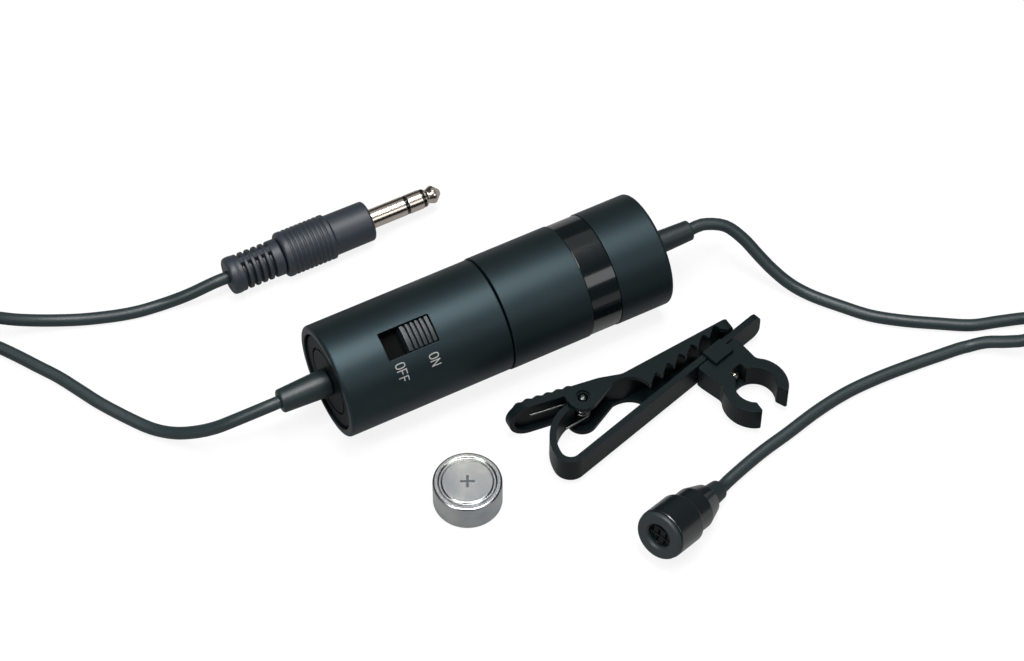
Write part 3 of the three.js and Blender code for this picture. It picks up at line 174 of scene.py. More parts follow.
outputCoilSet = {"centre": (-101.9, 41.6), "turns": 19.8, "startDegrees": 43.5, "ties": (222, 102)}
micCoilSet = {"centre": (110.5, -36.0), "turns": 12.8, "startDegrees": -137.7, "ties": (-77, 3)}
outputRoute = {
    "moduleSide": [
        (-38.4, 0, 10.15), (-39.2, 0, 10.15), (-41.4, 0, 10.15), (-46.4, 1.2, 8.4), (-49.6, 2.8, 6.2),
        (-52.6, 5, 4.1), (-55.4, 7.6, 2.4), (-58, 10.7, 1.4), (-61.2, 15.6, 1.1),
        (-63.9, 20.2, 1.1), (-65.9, 24.3, 1.1), (-67.9, 28.3, 1.1), (-70.3, 32.2, 1.1),
        (-72, 35, 1.1), (-74.5, 38.8, 1.1), (-77.5, 42.7, 1.1), (-80.6, 46.8, 1.15), (-82.6, 49.6, 1.35),
    ],
    "plugSide": [
        (-80.6, 39.5, 9.5), (-78.6, 41.5, 8.6), (-76.1, 42.2, 7.1), (-73.3, 41.8, 5.4),
        (-70.2, 40.9, 3.9), (-66.6, 39.9, 2.6), (-62.8, 38.7, 1.7), (-59, 37.4, 1.2),
        (-53.3, 35.5, 1.1), (-49.9, 34.7, 1.1), (-45.4, 34.1, 1.25),
        (-41.4, 32.9, 2.7), (-36.65, 32.2, 4.1), (-34.45, 32.2, 4.1), (-33.2, 32.2, 4.1),
    ],
}
micRoute = {
    "moduleSide": [
        (38.6, 0, 10.15), (39.7, 0, 10.15), (41.9, 0, 10.15), (45.6, -1.6, 9.4), (47.8, -4.4, 7.6),
        (49.2, -7.4, 5.6), (50.6, -10.3, 3.8), (52.4, -13.3, 2.2), (54.6, -16.3, 1.3),
        (58, -20.6, 1.1), (61.6, -24.9, 1.1), (65.9, -28.4, 1.1), (71, -31.8, 1.1),
        (76.1, -34.9, 1.1), (80.4, -36.3, 1.1), (85.1, -37.9, 1.1), (88.6, -39.5, 1.15), (91.7, -41.7, 1.35),
    ],
    "capsuleSide": [
        (91.3, -34.9, 9.5), (89.6, -37.8, 8.7), (87.5, -40.5, 7.3), (84.9, -42.7, 5.9),
        (81.4, -43.7, 4.4), (78.7, -41.9, 3.1), (75.8, -39.6, 2),
        (73, -38.4, 1.1), (67.2, -37.7, 1.1), (61.6, -37.2, 1.1), (56, -36.9, 1.1),
        (49.8, -37, 1.1), (43.4, -37.9, 1.1), (36.2, -39.6, 1.1), (30, -41, 1.1),
    ],
    "capsuleEnds": (2.5, 0.3, -0.5),
}
outputCoil, outputOuter, outputInner = coilLine(
    outputCoilSet["centre"], outputCoilSet["turns"], math.radians(outputCoilSet["startDegrees"]))
micCoil, micOuter, micInner = coilLine(
    micCoilSet["centre"], micCoilSet["turns"], math.radians(micCoilSet["startDegrees"]))
capsuleEnds = [capsuleTurn @ np.array([capsuleSet["length"] + out, 0, 0]) + capsuleFrame[1]
               for out in micRoute["capsuleEnds"]]
outputLine = smoothLine(
    np.vstack([outputRoute["moduleSide"], withEnds(outputCoil), outputRoute["plugSide"]]),
    leadSet["sampleEvery"])
micLine = smoothLine(
    np.vstack([micRoute["moduleSide"], withEnds(micCoil), micRoute["capsuleSide"], capsuleEnds]),
    leadSet["sampleEvery"])
for line in (outputLine, micLine):
    line[:, 2] = np.maximum(line[:, 2], leadSet["radius"])
outputLead = addCurve("outputLead", (outputLine + toOrigin) * mm, leadSet["radius"])
micLead = addCurve("micLead", (micLine + toOrigin) * mm, leadSet["radius"])
print("leads", *(round(float(np.linalg.norm(np.diff(line, axis=0), axis=1).sum()))
                 for line in (outputLine, micLine)))


# Surfaces

# Corners are (x, radius, rounding). A rounded corner becomes an arc that meets both sides
# squarely, with one more point close beside each end so that the flats shade flat.
def roundedProfile(corners, closed=False, arcSteps=5):
    count = len(corners)
    found = []
    for i, (x, y, rounding) in enumerate(corners):
        here = np.array([x, y], float)
        edge = not closed and i in (0, count - 1)
        if rounding <= 0 or edge:
            found.append(here[None])
            continue
        before = np.array(corners[i - 1][:2], float) - here
        after = np.array(corners[(i + 1) % count][:2], float) - here
        lengths = np.linalg.norm(before), np.linalg.norm(after)
        before, after = before / lengths[0], after / lengths[1]
        half = math.acos(np.clip(before @ after, -1, 1)) / 2
        if half > 1.55:
            found.append(here[None])
            continue
        reach = min(rounding / math.tan(half), 0.46 * min(lengths))
        radius = reach * math.tan(half)
        middle = (before + after) / np.linalg.norm(before + after)
        centre = here + middle * radius / math.sin(half)
        start, end = here + before * reach - centre, here + after * reach - centre
        sweep = math.atan2(start[0] * end[1] - start[1] * end[0], start @ end)
        t = np.linspace(0, sweep, arcSteps + 1)
        arc = np.stack([start[0] * np.cos(t) - start[1] * np.sin(t),
                        start[0] * np.sin(t) + start[1] * np.cos(t)], axis=1) + centre
        beside = min(0.04 * min(lengths), 0.25 * reach)
        found.append(np.vstack([arc[0] + before * beside, arc, arc[-1] + after * beside]))
    return np.vstack(found)


# Quads between neighbours of a grid of rows and columns, wrapping where asked.
def gridFaces(rows, columns, wrapRows, wrapColumns):
    r = np.arange(rows if wrapRows else rows - 1)[:, None]
    c = np.arange(columns if wrapColumns else columns - 1)[None]
    r2, c2 = (r + 1) % rows, (c + 1) % columns
    return np.stack([r * columns + c, r * columns + c2, r2 * columns + c2, r2 * columns + c],
                    axis=-1)


# Six times the volume in a mesh: over its triangles, the sum of a dotted with b cross c.
def signedVolume(mesh):
    mesh.calc_loop_triangles()
    triangles = np.empty(len(mesh.loop_triangles) * 3, np.int32)
    mesh.loop_triangles.foreach_get("vertices", triangles)
    spots = np.empty(len(mesh.vertices) * 3)
    mesh.vertices.foreach_get("co", spots)
    a, b, c = spots.reshape(-1, 3)[triangles.reshape(-1, 3)].transpose(1, 0, 2)
    return float(np.einsum("ij,ij->i", a - a.mean(0), np.cross(b - a.mean(0), c - a.mean(0))).sum())


# Makes one piece of parts, each a pair of points (mm, in its own frame) and faces.
def addPiece(name, parts, place, sharpAngle=32):
    mesh = bpy.data.meshes.new(name)
    points, faces, start = [], [], 0
    for partPoints, partFaces in parts:
        flat = np.asarray(partPoints, float).reshape(-1, 3)
        points.append(placed(flat, place))
        faces += [[int(v) + start for v in face] for face in partFaces]
        start += len(flat)
    mesh.from_pydata(np.vstack(points).tolist(), [], faces)
    tidy = bmesh.new()
    tidy.from_mesh(mesh)
    bmesh.ops.remove_doubles(tidy, verts=tidy.verts, dist=2e-7)
    bmesh.ops.recalc_face_normals(tidy, faces=tidy.faces)
    tidy.to_mesh(mesh)
    tidy.free()
    if signedVolume(mesh) < 0:
        mesh.flip_normals()
    mesh.polygons.foreach_set("use_smooth", np.ones(len(mesh.polygons), bool))
    mesh.set_sharp_from_angle(angle=math.radians(sharpAngle))
    piece = bpy.data.objects.new(name, mesh)
    bpy.context.collection.objects.link(piece)
    return piece


# A profile turned about the frame's own X axis: y is radius times sine, z radius times cosine.
def turnedPart(corners, closed=False, sides=96, arcSteps=5):
    profile = roundedProfile(corners, closed, arcSteps)
    angle = np.linspace(0, tau, sides, endpoint=False)
    x = profile[:, :1] + 0 * angle
    points = np.stack([x, -profile[:, 1:] * np.sin(angle), profile[:, 1:] * np.cos(angle)], -1)
    return points, gridFaces(len(profile), sides, closed, True).reshape(-1, 4)


# One piece made of one turned profile.
def addTurned(name, corners, place, closed=False, sides=96, arcSteps=5):
    return addPiece(name, [turnedPart(corners, closed, sides, arcSteps)], place)


# A closed outline in the first two axes, carried straight from low to high along the third.
def raisedPart(outline, low, high):
    outline = np.asarray(outline, float)
    count = len(outline)
    points = np.vstack([np.c_[outline, np.full(count, low)], np.c_[outline, np.full(count, high)]])
    ring = np.arange(count)
    follow = (ring + 1) % count
    sides = np.stack([ring, follow, follow + count, ring + count], axis=-1)
    return points, [*sides.tolist(), ring[::-1].tolist(), (ring + count).tolist()]


# Rounds the edges that are sharper than the angle, by a width in mm.
def bevelled(piece, width, segments=3, angle=35):
    bevel = piece.modifiers.new("bevel", "BEVEL")
    bevel.width = width * mm
    bevel.segments = segments
    bevel.limit_method = "ANGLE"
    bevel.angle_limit = math.radians(angle)
    bevel.harden_normals = True
    bevel.miter_outer = "MITER_ARC"
    return piece


# Materials

# Grain and tone for moulded, painted and plated surfaces: one slow noise varies colour and
# roughness, and one fine noise gives the bump.
# On the cell's steel, the slow noise mixes two colours that paint reflections.
def makeFinishGroup():
    group = bpy.data.node_groups.new("surfaceFinish", "ShaderNodeTree")
    sockets = [
        ("Base", "NodeSocketColor", (0.5, 0.5, 0.5, 1)), ("Second", "NodeSocketColor", (0.4, 0.4, 0.4, 1)),
        ("Tone Scale", "NodeSocketFloat", 60), ("Grain Scale", "NodeSocketFloat", 3000),
        ("Grain Depth", "NodeSocketFloat", 0.1), ("Smoothest", "NodeSocketFloat", 0.3),
        ("Roughest", "NodeSocketFloat", 0.4), ("Grain Height", "NodeSocketFloat", 0.00002),
    ]
    for name, kind, value in sockets:
        socket = group.interface.new_socket(name, in_out="INPUT", socket_type=kind)
        socket.default_value = value
    for name, kind in (("Color", "NodeSocketColor"), ("Roughness", "NodeSocketFloat"),
                       ("Normal", "NodeSocketVector")):
        group.interface.new_socket(name, in_out="OUTPUT", socket_type=kind)
    nodes, links = group.nodes, group.links
    entry, leave = nodes.new("NodeGroupInput"), nodes.new("NodeGroupOutput")
    spots = nodes.new("ShaderNodeTexCoord")
    tone, grain = nodes.new("ShaderNodeTexNoise"), nodes.new("ShaderNodeTexNoise")
    tone.inputs["Detail"].default_value = 3
    grain.inputs["Detail"].default_value = 2
    for noise, scale in ((tone, "Tone Scale"), (grain, "Grain Scale")):
        links.new(spots.outputs["Object"], noise.inputs["Vector"])
        links.new(entry.outputs[scale], noise.inputs["Scale"])
    mixColor = nodes.new("ShaderNodeMix")
    mixColor.data_type = "RGBA"
    links.new(tone.outputs["Fac"], mixColor.inputs["Factor"])
    links.new(entry.outputs["Base"], mixColor.inputs["A"])
    links.new(entry.outputs["Second"], mixColor.inputs["B"])
    links.new(mixColor.outputs["Result"], leave.inputs["Color"])
    blend = nodes.new("ShaderNodeMath")
    blend.operation = "MULTIPLY_ADD"
    blend.inputs[1].default_value = 0.5
    links.new(tone.outputs["Fac"], blend.inputs[0])
    half = nodes.new("ShaderNodeMath")
    half.operation = "MULTIPLY"
    half.inputs[1].default_value = 0.5
    links.new(grain.outputs["Fac"], half.inputs[0])
    links.new(half.outputs[0], blend.inputs[2])
    rough = nodes.new("ShaderNodeMapRange")
    rough.inputs["From Min"].default_value = 0.25
    rough.inputs["From Max"].default_value = 0.75
    links.new(blend.outputs[0], rough.inputs["Value"])
    links.new(entry.outputs["Smoothest"], rough.inputs["To Min"])
    links.new(entry.outputs["Roughest"], rough.inputs["To Max"])
    links.new(rough.outputs["Result"], leave.inputs["Roughness"])
    bump = nodes.new("ShaderNodeBump")
    links.new(entry.outputs["Grain Depth"], bump.inputs["Strength"])
    links.new(entry.outputs["Grain Height"], bump.inputs["Distance"])
    links.new(grain.outputs["Fac"], bump.inputs["Height"])
    links.new(bump.outputs["Normal"], leave.inputs["Normal"])
    return group


finishGroup = makeFinishGroup()


# A shader that takes colour, roughness and normal from the finish group.
def makeMaterial(name, look):
    material = bpy.data.materials.new(name)
    material.use_nodes = True
    nodes, links = material.node_tree.nodes, material.node_tree.links
    shader = nodes["Principled BSDF"]
    finish = nodes.new("ShaderNodeGroup")
    finish.node_tree = finishGroup
    for target, name, value in (
            (finish, "Base", (*look["color"], 1)),
            (finish, "Second", (*look.get("second", look["color"]), 1)),
            (finish, "Tone Scale", look.get("toneScale", 60)),
            (finish, "Grain Scale", look.get("grainScale", 3000)),
            (finish, "Grain Depth", look.get("grainDepth", 0.1)),
            (finish, "Grain Height", look.get("grainHeight", 0.00002)),
            (finish, "Smoothest", look["rough"][0]), (finish, "Roughest", look["rough"][1]),
            (shader, "Metallic", look.get("metal", 0)),
            (shader, "Specular IOR Level", look.get("specular", 0.5)),
            (shader, "Coat Weight", look.get("coat", 0)), (shader, "Coat Roughness", 0.05)):
        target.inputs[name].default_value = value
    for given, taken in (("Color", "Base Color"), ("Roughness", "Roughness"), ("Normal", "Normal")):
        links.new(finish.outputs[given], shader.inputs[taken])
    return material


looks = {
    "shellPaint": {"color": (0.0185, 0.0300, 0.0345), "second": (0.0250, 0.0395, 0.0450), "toneScale": 90,
                   "metal": 0.75, "grainScale": 5200, "grainDepth": 0.4, "rough": (0.40, 0.48),
                   "specular": 0.3},
    "clipPlastic": {"color": (0.0040, 0.0075, 0.0085), "second": (0.0062, 0.0108, 0.0118),
                    "grainScale": 4600, "grainDepth": 0.3, "rough": (0.26, 0.36), "specular": 0.12},
    "plateBlack": {"color": (0.0030, 0.0062, 0.0070), "second": (0.0050, 0.0092, 0.0100),
                   "grainScale": 4600, "grainDepth": 0.25, "rough": (0.42, 0.54), "specular": 0.07},
    # Near black, far darker than the knob of the same slider: painted shade in the window round the knob.
    "flangePaintedShade": {"color": (0.0010, 0.0012, 0.0013), "grainScale": 3000, "grainDepth": 0.1,
                    "rough": (0.6, 0.7), "specular": 0.06},
    "knobGrey": {"color": (0.0100, 0.0160, 0.0180), "second": (0.0140, 0.0210, 0.0240),
                 "grainScale": 4600, "grainDepth": 0.2, "rough": (0.34, 0.44), "specular": 0.4},
    "glossBlack": {"color": (0.0020, 0.0030, 0.0034), "rough": (0.07, 0.11), "grainDepth": 0.02,
                   "specular": 0.5, "coat": 0.3},
    "capsuleGloss": {"color": (0.0050, 0.0082, 0.0092), "rough": (0.22, 0.28), "grainDepth": 0.02,
                     "specular": 0.9, "coat": 0.3},
    "bandGloss": {"color": (0.0030, 0.0056, 0.0064), "rough": (0.12, 0.16), "grainDepth": 0.01,
                  "specular": 0.5, "coat": 0.3},
    "capsuleRubber": {"color": (0.0160, 0.0230, 0.0255), "second": (0.0220, 0.0300, 0.0330),
                      "grainScale": 4200, "grainDepth": 0.35, "rough": (0.42, 0.55), "specular": 0.45},
    "reliefRubber": {"color": (0.0090, 0.0160, 0.0185), "second": (0.0130, 0.0215, 0.0240),
                     "grainScale": 3600, "grainDepth": 0.3, "rough": (0.38, 0.5), "specular": 0.45},
    "leadJacket": {"color": (0.0130, 0.0225, 0.0250), "second": (0.0200, 0.0320, 0.0350), "toneScale": 40,
                   "grainScale": 2600, "grainDepth": 0.25, "rough": (0.36, 0.48), "specular": 0.45},
    "gripRubber": {"color": (0.0180, 0.0240, 0.0320), "second": (0.0240, 0.0310, 0.0400),
                   "grainScale": 3800, "grainDepth": 0.3, "rough": (0.40, 0.52), "specular": 0.5},
    "plugNickel": {"color": (0.62, 0.55, 0.48), "second": (0.68, 0.61, 0.54), "metal": 1,
                   "grainScale": 2500, "grainDepth": 0.02, "rough": (0.16, 0.24)},
    # The cell's steel mixes a dark blue and a warm light colour by a slow noise: painted reflections, in
    # patches.
    "cellSteelPaintedReflection": {"color": (0.25, 0.31, 0.37), "second": (0.74, 0.71, 0.65), "metal": 1, "toneScale": 150,
                  "grainScale": 5000, "grainDepth": 0.12, "rough": (0.18, 0.3)},
    "cellMark": {"color": (0.10, 0.11, 0.12), "metal": 1, "rough": (0.5, 0.6)},
    "springSteel": {"color": (0.20, 0.20, 0.20), "metal": 1, "rough": (0.25, 0.35)},
    "darkSteel": {"color": (0.085, 0.095, 0.10), "second": (0.12, 0.13, 0.13), "metal": 1,
                  "grainScale": 4000, "grainDepth": 0.1, "rough": (0.22, 0.3)},
    "cellNylon": {"color": (0.5, 0.48, 0.42), "rough": (0.5, 0.6)},
    "boardGreen": {"color": (0.012, 0.08, 0.035), "second": (0.02, 0.11, 0.05), "rough": (0.3, 0.4)},
    "windscreenFelt": {"color": (0.010, 0.010, 0.011), "second": (0.025, 0.025, 0.026), "toneScale": 2600,
                       "grainScale": 4200, "grainDepth": 0.9, "grainHeight": 0.0001, "rough": (0.9, 1.0)},
    "resistorTan": {"color": (0.5, 0.37, 0.21), "rough": (0.35, 0.45)},
    "labelInk": {"color": (0.40, 0.40, 0.385), "second": (0.34, 0.34, 0.325), "rough": (0.5, 0.6),
                 "grainDepth": 0.05},
}
materials = {name: makeMaterial(name, look) for name, look in looks.items()}


# Gives a piece its material and body, and says which CAD nodes it stands for, hiding them. The slot is not
# used.
def dress(piece, material, slot, body, *nodes):
    if material:
        piece.data.materials.clear()
        piece.data.materials.append(materials[material])
    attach(piece, body)
    if nodes:
        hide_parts(*nodes)
    return piece


dress(outputLead, "leadJacket", "cord", "switch_half",
      "output_lead_module_side", "output_lead_coil", "output_lead_plug_side")
dress(micLead, "leadJacket", "cord", "mic_half",
      "mic_lead_module_side", "mic_lead_coil", "mic_lead_capsule_side")


# Module: the switch half
housingSet = {
    "left": -30.3, "right": -0.15, "radius": 10, "bore": 8, "pocket": 8.6, "pocketEnd": -27.75,
    "rim": 0.55, "window": (-21.3, -12.1), "windowHalf": 2.45, "switchDegrees": 24.3,
    "columns": 150, "windowColumns": 18,
}


# A tube whose grid lines follow the window's edges. The angle of each line runs evenly round
# the tube, and the window's two lines lie where its flat sides cut each radius.
def switchHousing(size):
    left, right = size["window"]
    corners = [
        (size["left"], size["pocket"], 0.15), (size["left"], size["radius"], size["rim"]),
        (left, size["radius"], 0), (right, size["radius"], 0),
        (size["right"], size["radius"], 0.16), (size["right"], size["bore"], 0.1),
        (right, size["bore"], 0), (left, size["bore"], 0),
        (size["pocketEnd"], size["bore"], 0.05), (size["pocketEnd"], size["pocket"], 0),
    ]
    profile = roundedProfile(corners, True)
    middle = math.radians(size["switchDegrees"])
    half = np.arcsin(size["windowHalf"] / profile[:, 1:])
    inside = np.linspace(-1, 1, size["windowColumns"] + 1)
    outside = np.linspace(0, 1, size["columns"] + 1)[1:-1]
    angle = np.concatenate([middle + half * inside,
                            middle + half + (tau - 2 * half) * outside], axis=1)
    x = profile[:, :1] + 0 * angle
    radius = profile[:, 1:]
    points = np.stack([x, -radius * np.sin(angle), radius * np.cos(angle)], -1)
    rows, columns = angle.shape
    faces = gridFaces(rows, columns, True, True)
    near = lambda a, b: np.isclose(profile[:, 0], a) & np.isclose(profile[:, 1], b)
    outerLeft, outerRight = (int(np.where(near(x0, size["radius"]))[0][0]) for x0 in (left, right))
    innerRight, innerLeft = (int(np.where(near(x0, size["bore"]))[0][0]) for x0 in (right, left))
    keep = np.ones(faces.shape[:2], bool)
    keep[outerLeft:outerRight, :size["windowColumns"]] = False
    keep[innerRight:innerLeft, :size["windowColumns"]] = False
    walls = []
    column = np.arange(size["windowColumns"])
    for outer, inner in ((outerLeft, innerLeft), (outerRight, innerRight)):
        walls.append(np.stack([outer * columns + column, outer * columns + column + 1,
                               inner * columns + column + 1, inner * columns + column], -1))
    for c in (0, size["windowColumns"]):
        walls.append(np.array([[outerLeft * columns + c, outerRight * columns + c,
                                innerRight * columns + c, innerLeft * columns + c]]))
    return points, np.vstack([faces[keep], *walls])


housing = bevelled(addPiece("switchHousing", [switchHousing(housingSet)], moduleFrame), 0.1, 2, 50)
dress(housing, "shellPaint", "shell", "switch_half", "switch_housing")

plateSet = {"thickness": 2, "groove": 5.7, "grooveWidth": 0.35, "grooveDepth": 0.35, "hole": 1.85}


# A disc with a groove in its face; a depth in it is the face plus side times that depth.
def endPlate(name, face, radius, side, body, node):
    x = lambda depth: face + side * depth
    groove, width, deep = plateSet["groove"], plateSet["grooveWidth"], plateSet["grooveDepth"]
    corners = [
        (x(0), plateSet["hole"], 0.1), (x(0), groove, 0.08), (x(deep), groove, 0),
        (x(deep), groove + width, 0), (x(0), groove + width, 0.08), (x(0), radius, 0.3),
        (x(plateSet["thickness"]), radius, 0.1), (x(plateSet["thickness"]), plateSet["hole"], 0.1),
    ]
    return dress(addTurned(name, corners, moduleFrame, True, 128), "plateBlack", "black_plastic",
                 body, node)


reliefSet = {
    "outputFace": -29.9, "micFace": 30.2, "outputRadii": (2.45, 2.05), "micRadii": (2.1, 1.8),
    "outputLength": 9, "micLength": 9.2, "neck": 1.7, "head": 3.2, "bore": 1.12,
}


# A tapered sleeve round the cord, with a soft end and a head behind the end plate.
def reliefCorners(face, radii, length, side):
    x = lambda out: face + side * out
    return [
        (x(-3.15), 0, 0), (x(-3.15), reliefSet["head"], 0.15), (x(-2.15), reliefSet["head"], 0.15),
        (x(-2.15), reliefSet["neck"], 0), (x(0.15), reliefSet["neck"], 0),
        (x(0.15), radii[0], 0.15), (x(1.3), radii[0] * 0.985, 0), (x(length), radii[1], 0.45),
        (x(length), reliefSet["bore"], 0.1), (x(length - 0.7), reliefSet["bore"], 0),
        (x(length - 0.7), 0, 0),
    ]


endPlate("outputEndPlate", reliefSet["outputFace"], 8.3, 1, "switch_half", "output_end_plate")
dress(addTurned("outputRelief", reliefCorners(
    reliefSet["outputFace"], reliefSet["outputRadii"], reliefSet["outputLength"], -1), moduleFrame),
    "reliefRubber", "rubber", "switch_half", "output_strain_relief")

knobSet = {
    "middle": -14.9, "length": 5.2, "half": 2.25, "top": 9.85, "ridges": 6, "ridgeDepth": 0.75,
    "flangeBottom": 6.479, "flangeTop": 7.179, "flangeHalf": 3.2, "flangeLength": 12.8,
    "pegLength": 1.6, "pegBottom": 4.2, "stations": 13,
}


# The knob's side outline, a row of ridges over a plain block, carried across the knob. The top
# falls away from the middle by the width squared over twice the housing's radius.
def switchKnob(size):
    left = size["middle"] - size["length"] / 2
    pitch = size["length"] / size["ridges"]
    low = size["top"] - size["ridgeDepth"]
    index = np.arange(size["ridges"] - 1)
    centre = left + (index + 1) * pitch
    offsets = np.array([-0.24, -0.14, 0.14, 0.24])
    heights = np.array([size["top"], low, low, size["top"]])
    ridge = np.stack([(centre[:, None] + offsets * pitch * 1.1).ravel(),
                      np.tile(heights, size["ridges"] - 1)], axis=1)
    outline = np.vstack([
        [left, size["flangeBottom"]], [left, size["top"]], ridge,
        [left + size["length"], size["top"]], [left + size["length"], size["flangeBottom"]],
    ])
    y = np.linspace(-size["half"], size["half"], size["stations"])
    crown = np.where(outline[:, 1] > 8, 1, 0)[None] * (y**2)[:, None] / (2 * housingSet["radius"])
    points = np.stack([np.tile(outline[:, 0], (len(y), 1)), np.tile(y[:, None], (1, len(outline))),
                       outline[:, 1][None] - crown], -1)
    faces = gridFaces(len(y), len(outline), False, True).reshape(-1, 4).tolist()
    ring = np.arange(len(outline))
    return points, [*faces, ring.tolist(), (ring + (len(y) - 1) * len(outline)).tolist()[::-1]]


# A block between two limits along each axis.
def flatBlock(x, y, z):
    return raisedPart([(x[0], y[0]), (x[1], y[0]), (x[1], y[1]), (x[0], y[1])], *z)


knobLeft = knobSet["middle"] - knobSet["flangeLength"] / 2
knob = addPiece("switchKnob", [switchKnob(knobSet)], switchFrame)
dress(bevelled(knob, 0.06, 2, 35), "knobGrey", "black_plastic", "switch_knob", "switch_slider")
flange = addPiece("knobFlange", [
    flatBlock((knobLeft, knobLeft + knobSet["flangeLength"]),
              (-knobSet["flangeHalf"], knobSet["flangeHalf"]),
              (knobSet["flangeBottom"] + 0.01, knobSet["flangeTop"])),
    flatBlock((knobSet["middle"] - knobSet["pegLength"] / 2, knobSet["middle"] + knobSet["pegLength"] / 2),
              (-0.6, 0.6), (knobSet["pegBottom"], knobSet["flangeBottom"] + 0.1)),
], switchFrame)
# The flange takes the near-black look: painted shade in the housing's window.
dress(bevelled(flange, 0.06, 2, 35), "flangePaintedShade", "black_plastic", "switch_knob")

cupSet = {
    "back": -4.15, "floor": -0.15, "base": 7.7, "collar": 7.9, "thread": 0.35, "pitch": 2,
    "end": 5.85, "bore": 6.1,
}


# The cup's profile: base, floor and a collar with a ridge for the thread at every pitch.
def batteryCup(size):
    start = size["floor"] + 0.6
    count = int((size["end"] - size["pitch"] / 2 - start) / size["pitch"]) + 1
    ridges = [(start + i * size["pitch"] + share * size["pitch"], size["collar"] + rise, 0.12)
              for i in range(count) for share, rise in ((0, 0), (0.25, size["thread"]), (0.5, 0))]
    return [
        (size["back"], 0, 0), (size["back"], size["base"], 0.2), (size["floor"], size["base"], 0),
        *ridges, (size["end"], size["collar"], 0.3), (size["end"], size["bore"], 0.25),
        (size["floor"], size["bore"], 0.2), (size["floor"], 0, 0),
    ]


dress(addTurned("batteryCup", batteryCup(cupSet), moduleFrame), "clipPlastic", "black_plastic",
      "switch_half", "battery_cup")

for node, look in (("slide_switch", "springSteel"), ("circuit_board", "boardGreen"),
                   ("output_capacitor", "glossBlack"), ("load_resistor", "resistorTan"),
                   ("positive_contact", "plugNickel"), ("contact_spool", "clipPlastic"),
                   ("negative_contact_spring", "plugNickel"), ("electret_cartridge", "cellSteelPaintedReflection")):
    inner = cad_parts[node]
    inner.data.materials.clear()
    inner.data.materials.append(materials[look])
print("switch half done")


# Switch markings
markSet = {
    "radius": 10.012, "height": 1.6, "width": 0.84, "stroke": 0.17, "space": 0.40,
    "on": (-13.9, 53.8), "off": (-19.9, 53.9),
}


# A ribbon of even width along a line of points, moved half a stroke to each side of it.
def ribbon(points, closed=False):
    points = np.asarray(points, float)
    if closed:
        way = np.roll(points, -1, 0) - np.roll(points, 1, 0)
    else:
        way = np.gradient(points, axis=0)
    way /= np.linalg.norm(way, axis=1)[:, None]
    aside = np.stack([-way[:, 1], way[:, 0]], 1) * markSet["stroke"] / 2
    return np.stack([points + aside, points - aside], 1), closed


# A ribbon from start to end, half a stroke longer at both ends.
def straightStroke(start, end):
    start, end = np.array(start, float), np.array(end, float)
    way = (end - start) / np.linalg.norm(end - start)
    ends = start - way * markSet["stroke"] / 2, end + way * markSet["stroke"] / 2
    t = np.linspace(0, 1, 14)[:, None]
    return ribbon(ends[0] + (ends[1] - ends[0]) * t)


# An O is a superellipse, x and y to the power 2.7 adding up to one; the rest are straight.
def letterStrokes(letter):
    wide, high = markSet["width"], markSet["height"]
    if letter == "O":
        t = np.linspace(0, tau, 56, endpoint=False)
        power = 2 / 2.7
        x = np.sign(np.cos(t)) * np.abs(np.cos(t)) ** power * wide / 2 + wide / 2
        y = np.sign(np.sin(t)) * np.abs(np.sin(t)) ** power * high / 2 + high / 2
        return [ribbon(np.stack([x, y], 1), True)]
    if letter == "N":
        return [straightStroke((0, 0), (0, high)), straightStroke((0, high), (wide, 0)),
                straightStroke((wide, 0), (wide, high))]
    return [straightStroke((0, 0), (0, high)), straightStroke((0, high), (wide * 0.9, high)),
            straightStroke((0, high * 0.52), (wide * 0.78, high * 0.52))]


# Letters read round the housing: across a letter is an angle, and its height runs along X.
def addMark(name, word, spot):
    parts = []
    total = len(word) * markSet["width"] + (len(word) - 1) * markSet["space"]
    for i, letter in enumerate(word):
        start = i * (markSet["width"] + markSet["space"]) - total / 2
        for strip, closed in letterStrokes(letter):
            angle = math.radians(spot[1]) + (strip[..., 0] + start) / markSet["radius"]
            x = spot[0] + strip[..., 1] - markSet["height"] / 2
            points = np.stack([x, -markSet["radius"] * np.sin(angle),
                               markSet["radius"] * np.cos(angle)], -1)
            inner = points * np.array([1, 0.995, 0.995])
            count = len(points)
            loop = np.concatenate([points, inner[:, ::-1]], axis=1)
            faces = gridFaces(count, 4, closed, True).reshape(-1, 4).tolist()
            if not closed:
                faces += [[0, 1, 2, 3], [(count - 1) * 4 + k for k in (3, 2, 1, 0)]]
            parts.append((loop, faces))
    mark = addPiece(name, parts, moduleFrame)
    return dress(mark, "labelInk", "shell", "switch_half")


addMark("onMark", "ON", markSet["on"])
addMark("offMark", "OFF", markSet["off"])


# Module: the sleeve and the microphone half
sleeveSet = {
    "left": 0.15, "right": 30.6, "radius": 10.15, "bore": 8.65, "pocket": 8.95, "pocketStart": 28.05,
    "rim": 0.7, "band": (15, 20.6), "groove": 9.66, "bandTop": 10.03, "bandGap": 0.05,
}
sleeve = addTurned("batterySleeve", [
    (sleeveSet["left"], sleeveSet["bore"], 0.1), (sleeveSet["left"], sleeveSet["radius"], 0.16),
    (sleeveSet["band"][0], sleeveSet["radius"], 0.06), (sleeveSet["band"][0], sleeveSet["groove"], 0),
    (sleeveSet["band"][1], sleeveSet["groove"], 0), (sleeveSet["band"][1], sleeveSet["radius"], 0.06),
    (sleeveSet["right"], sleeveSet["radius"], sleeveSet["rim"]),
    (sleeveSet["right"], sleeveSet["pocket"], 0.15),
    (sleeveSet["pocketStart"], sleeveSet["pocket"], 0.05), (sleeveSet["pocketStart"], sleeveSet["bore"], 0),
], moduleFrame, True, 160)
dress(sleeve, "shellPaint", "shell", "sleeve", "battery_sleeve")
bandStart = sleeveSet["band"][0] + sleeveSet["bandGap"]
bandEnd = sleeveSet["band"][1] - sleeveSet["bandGap"]
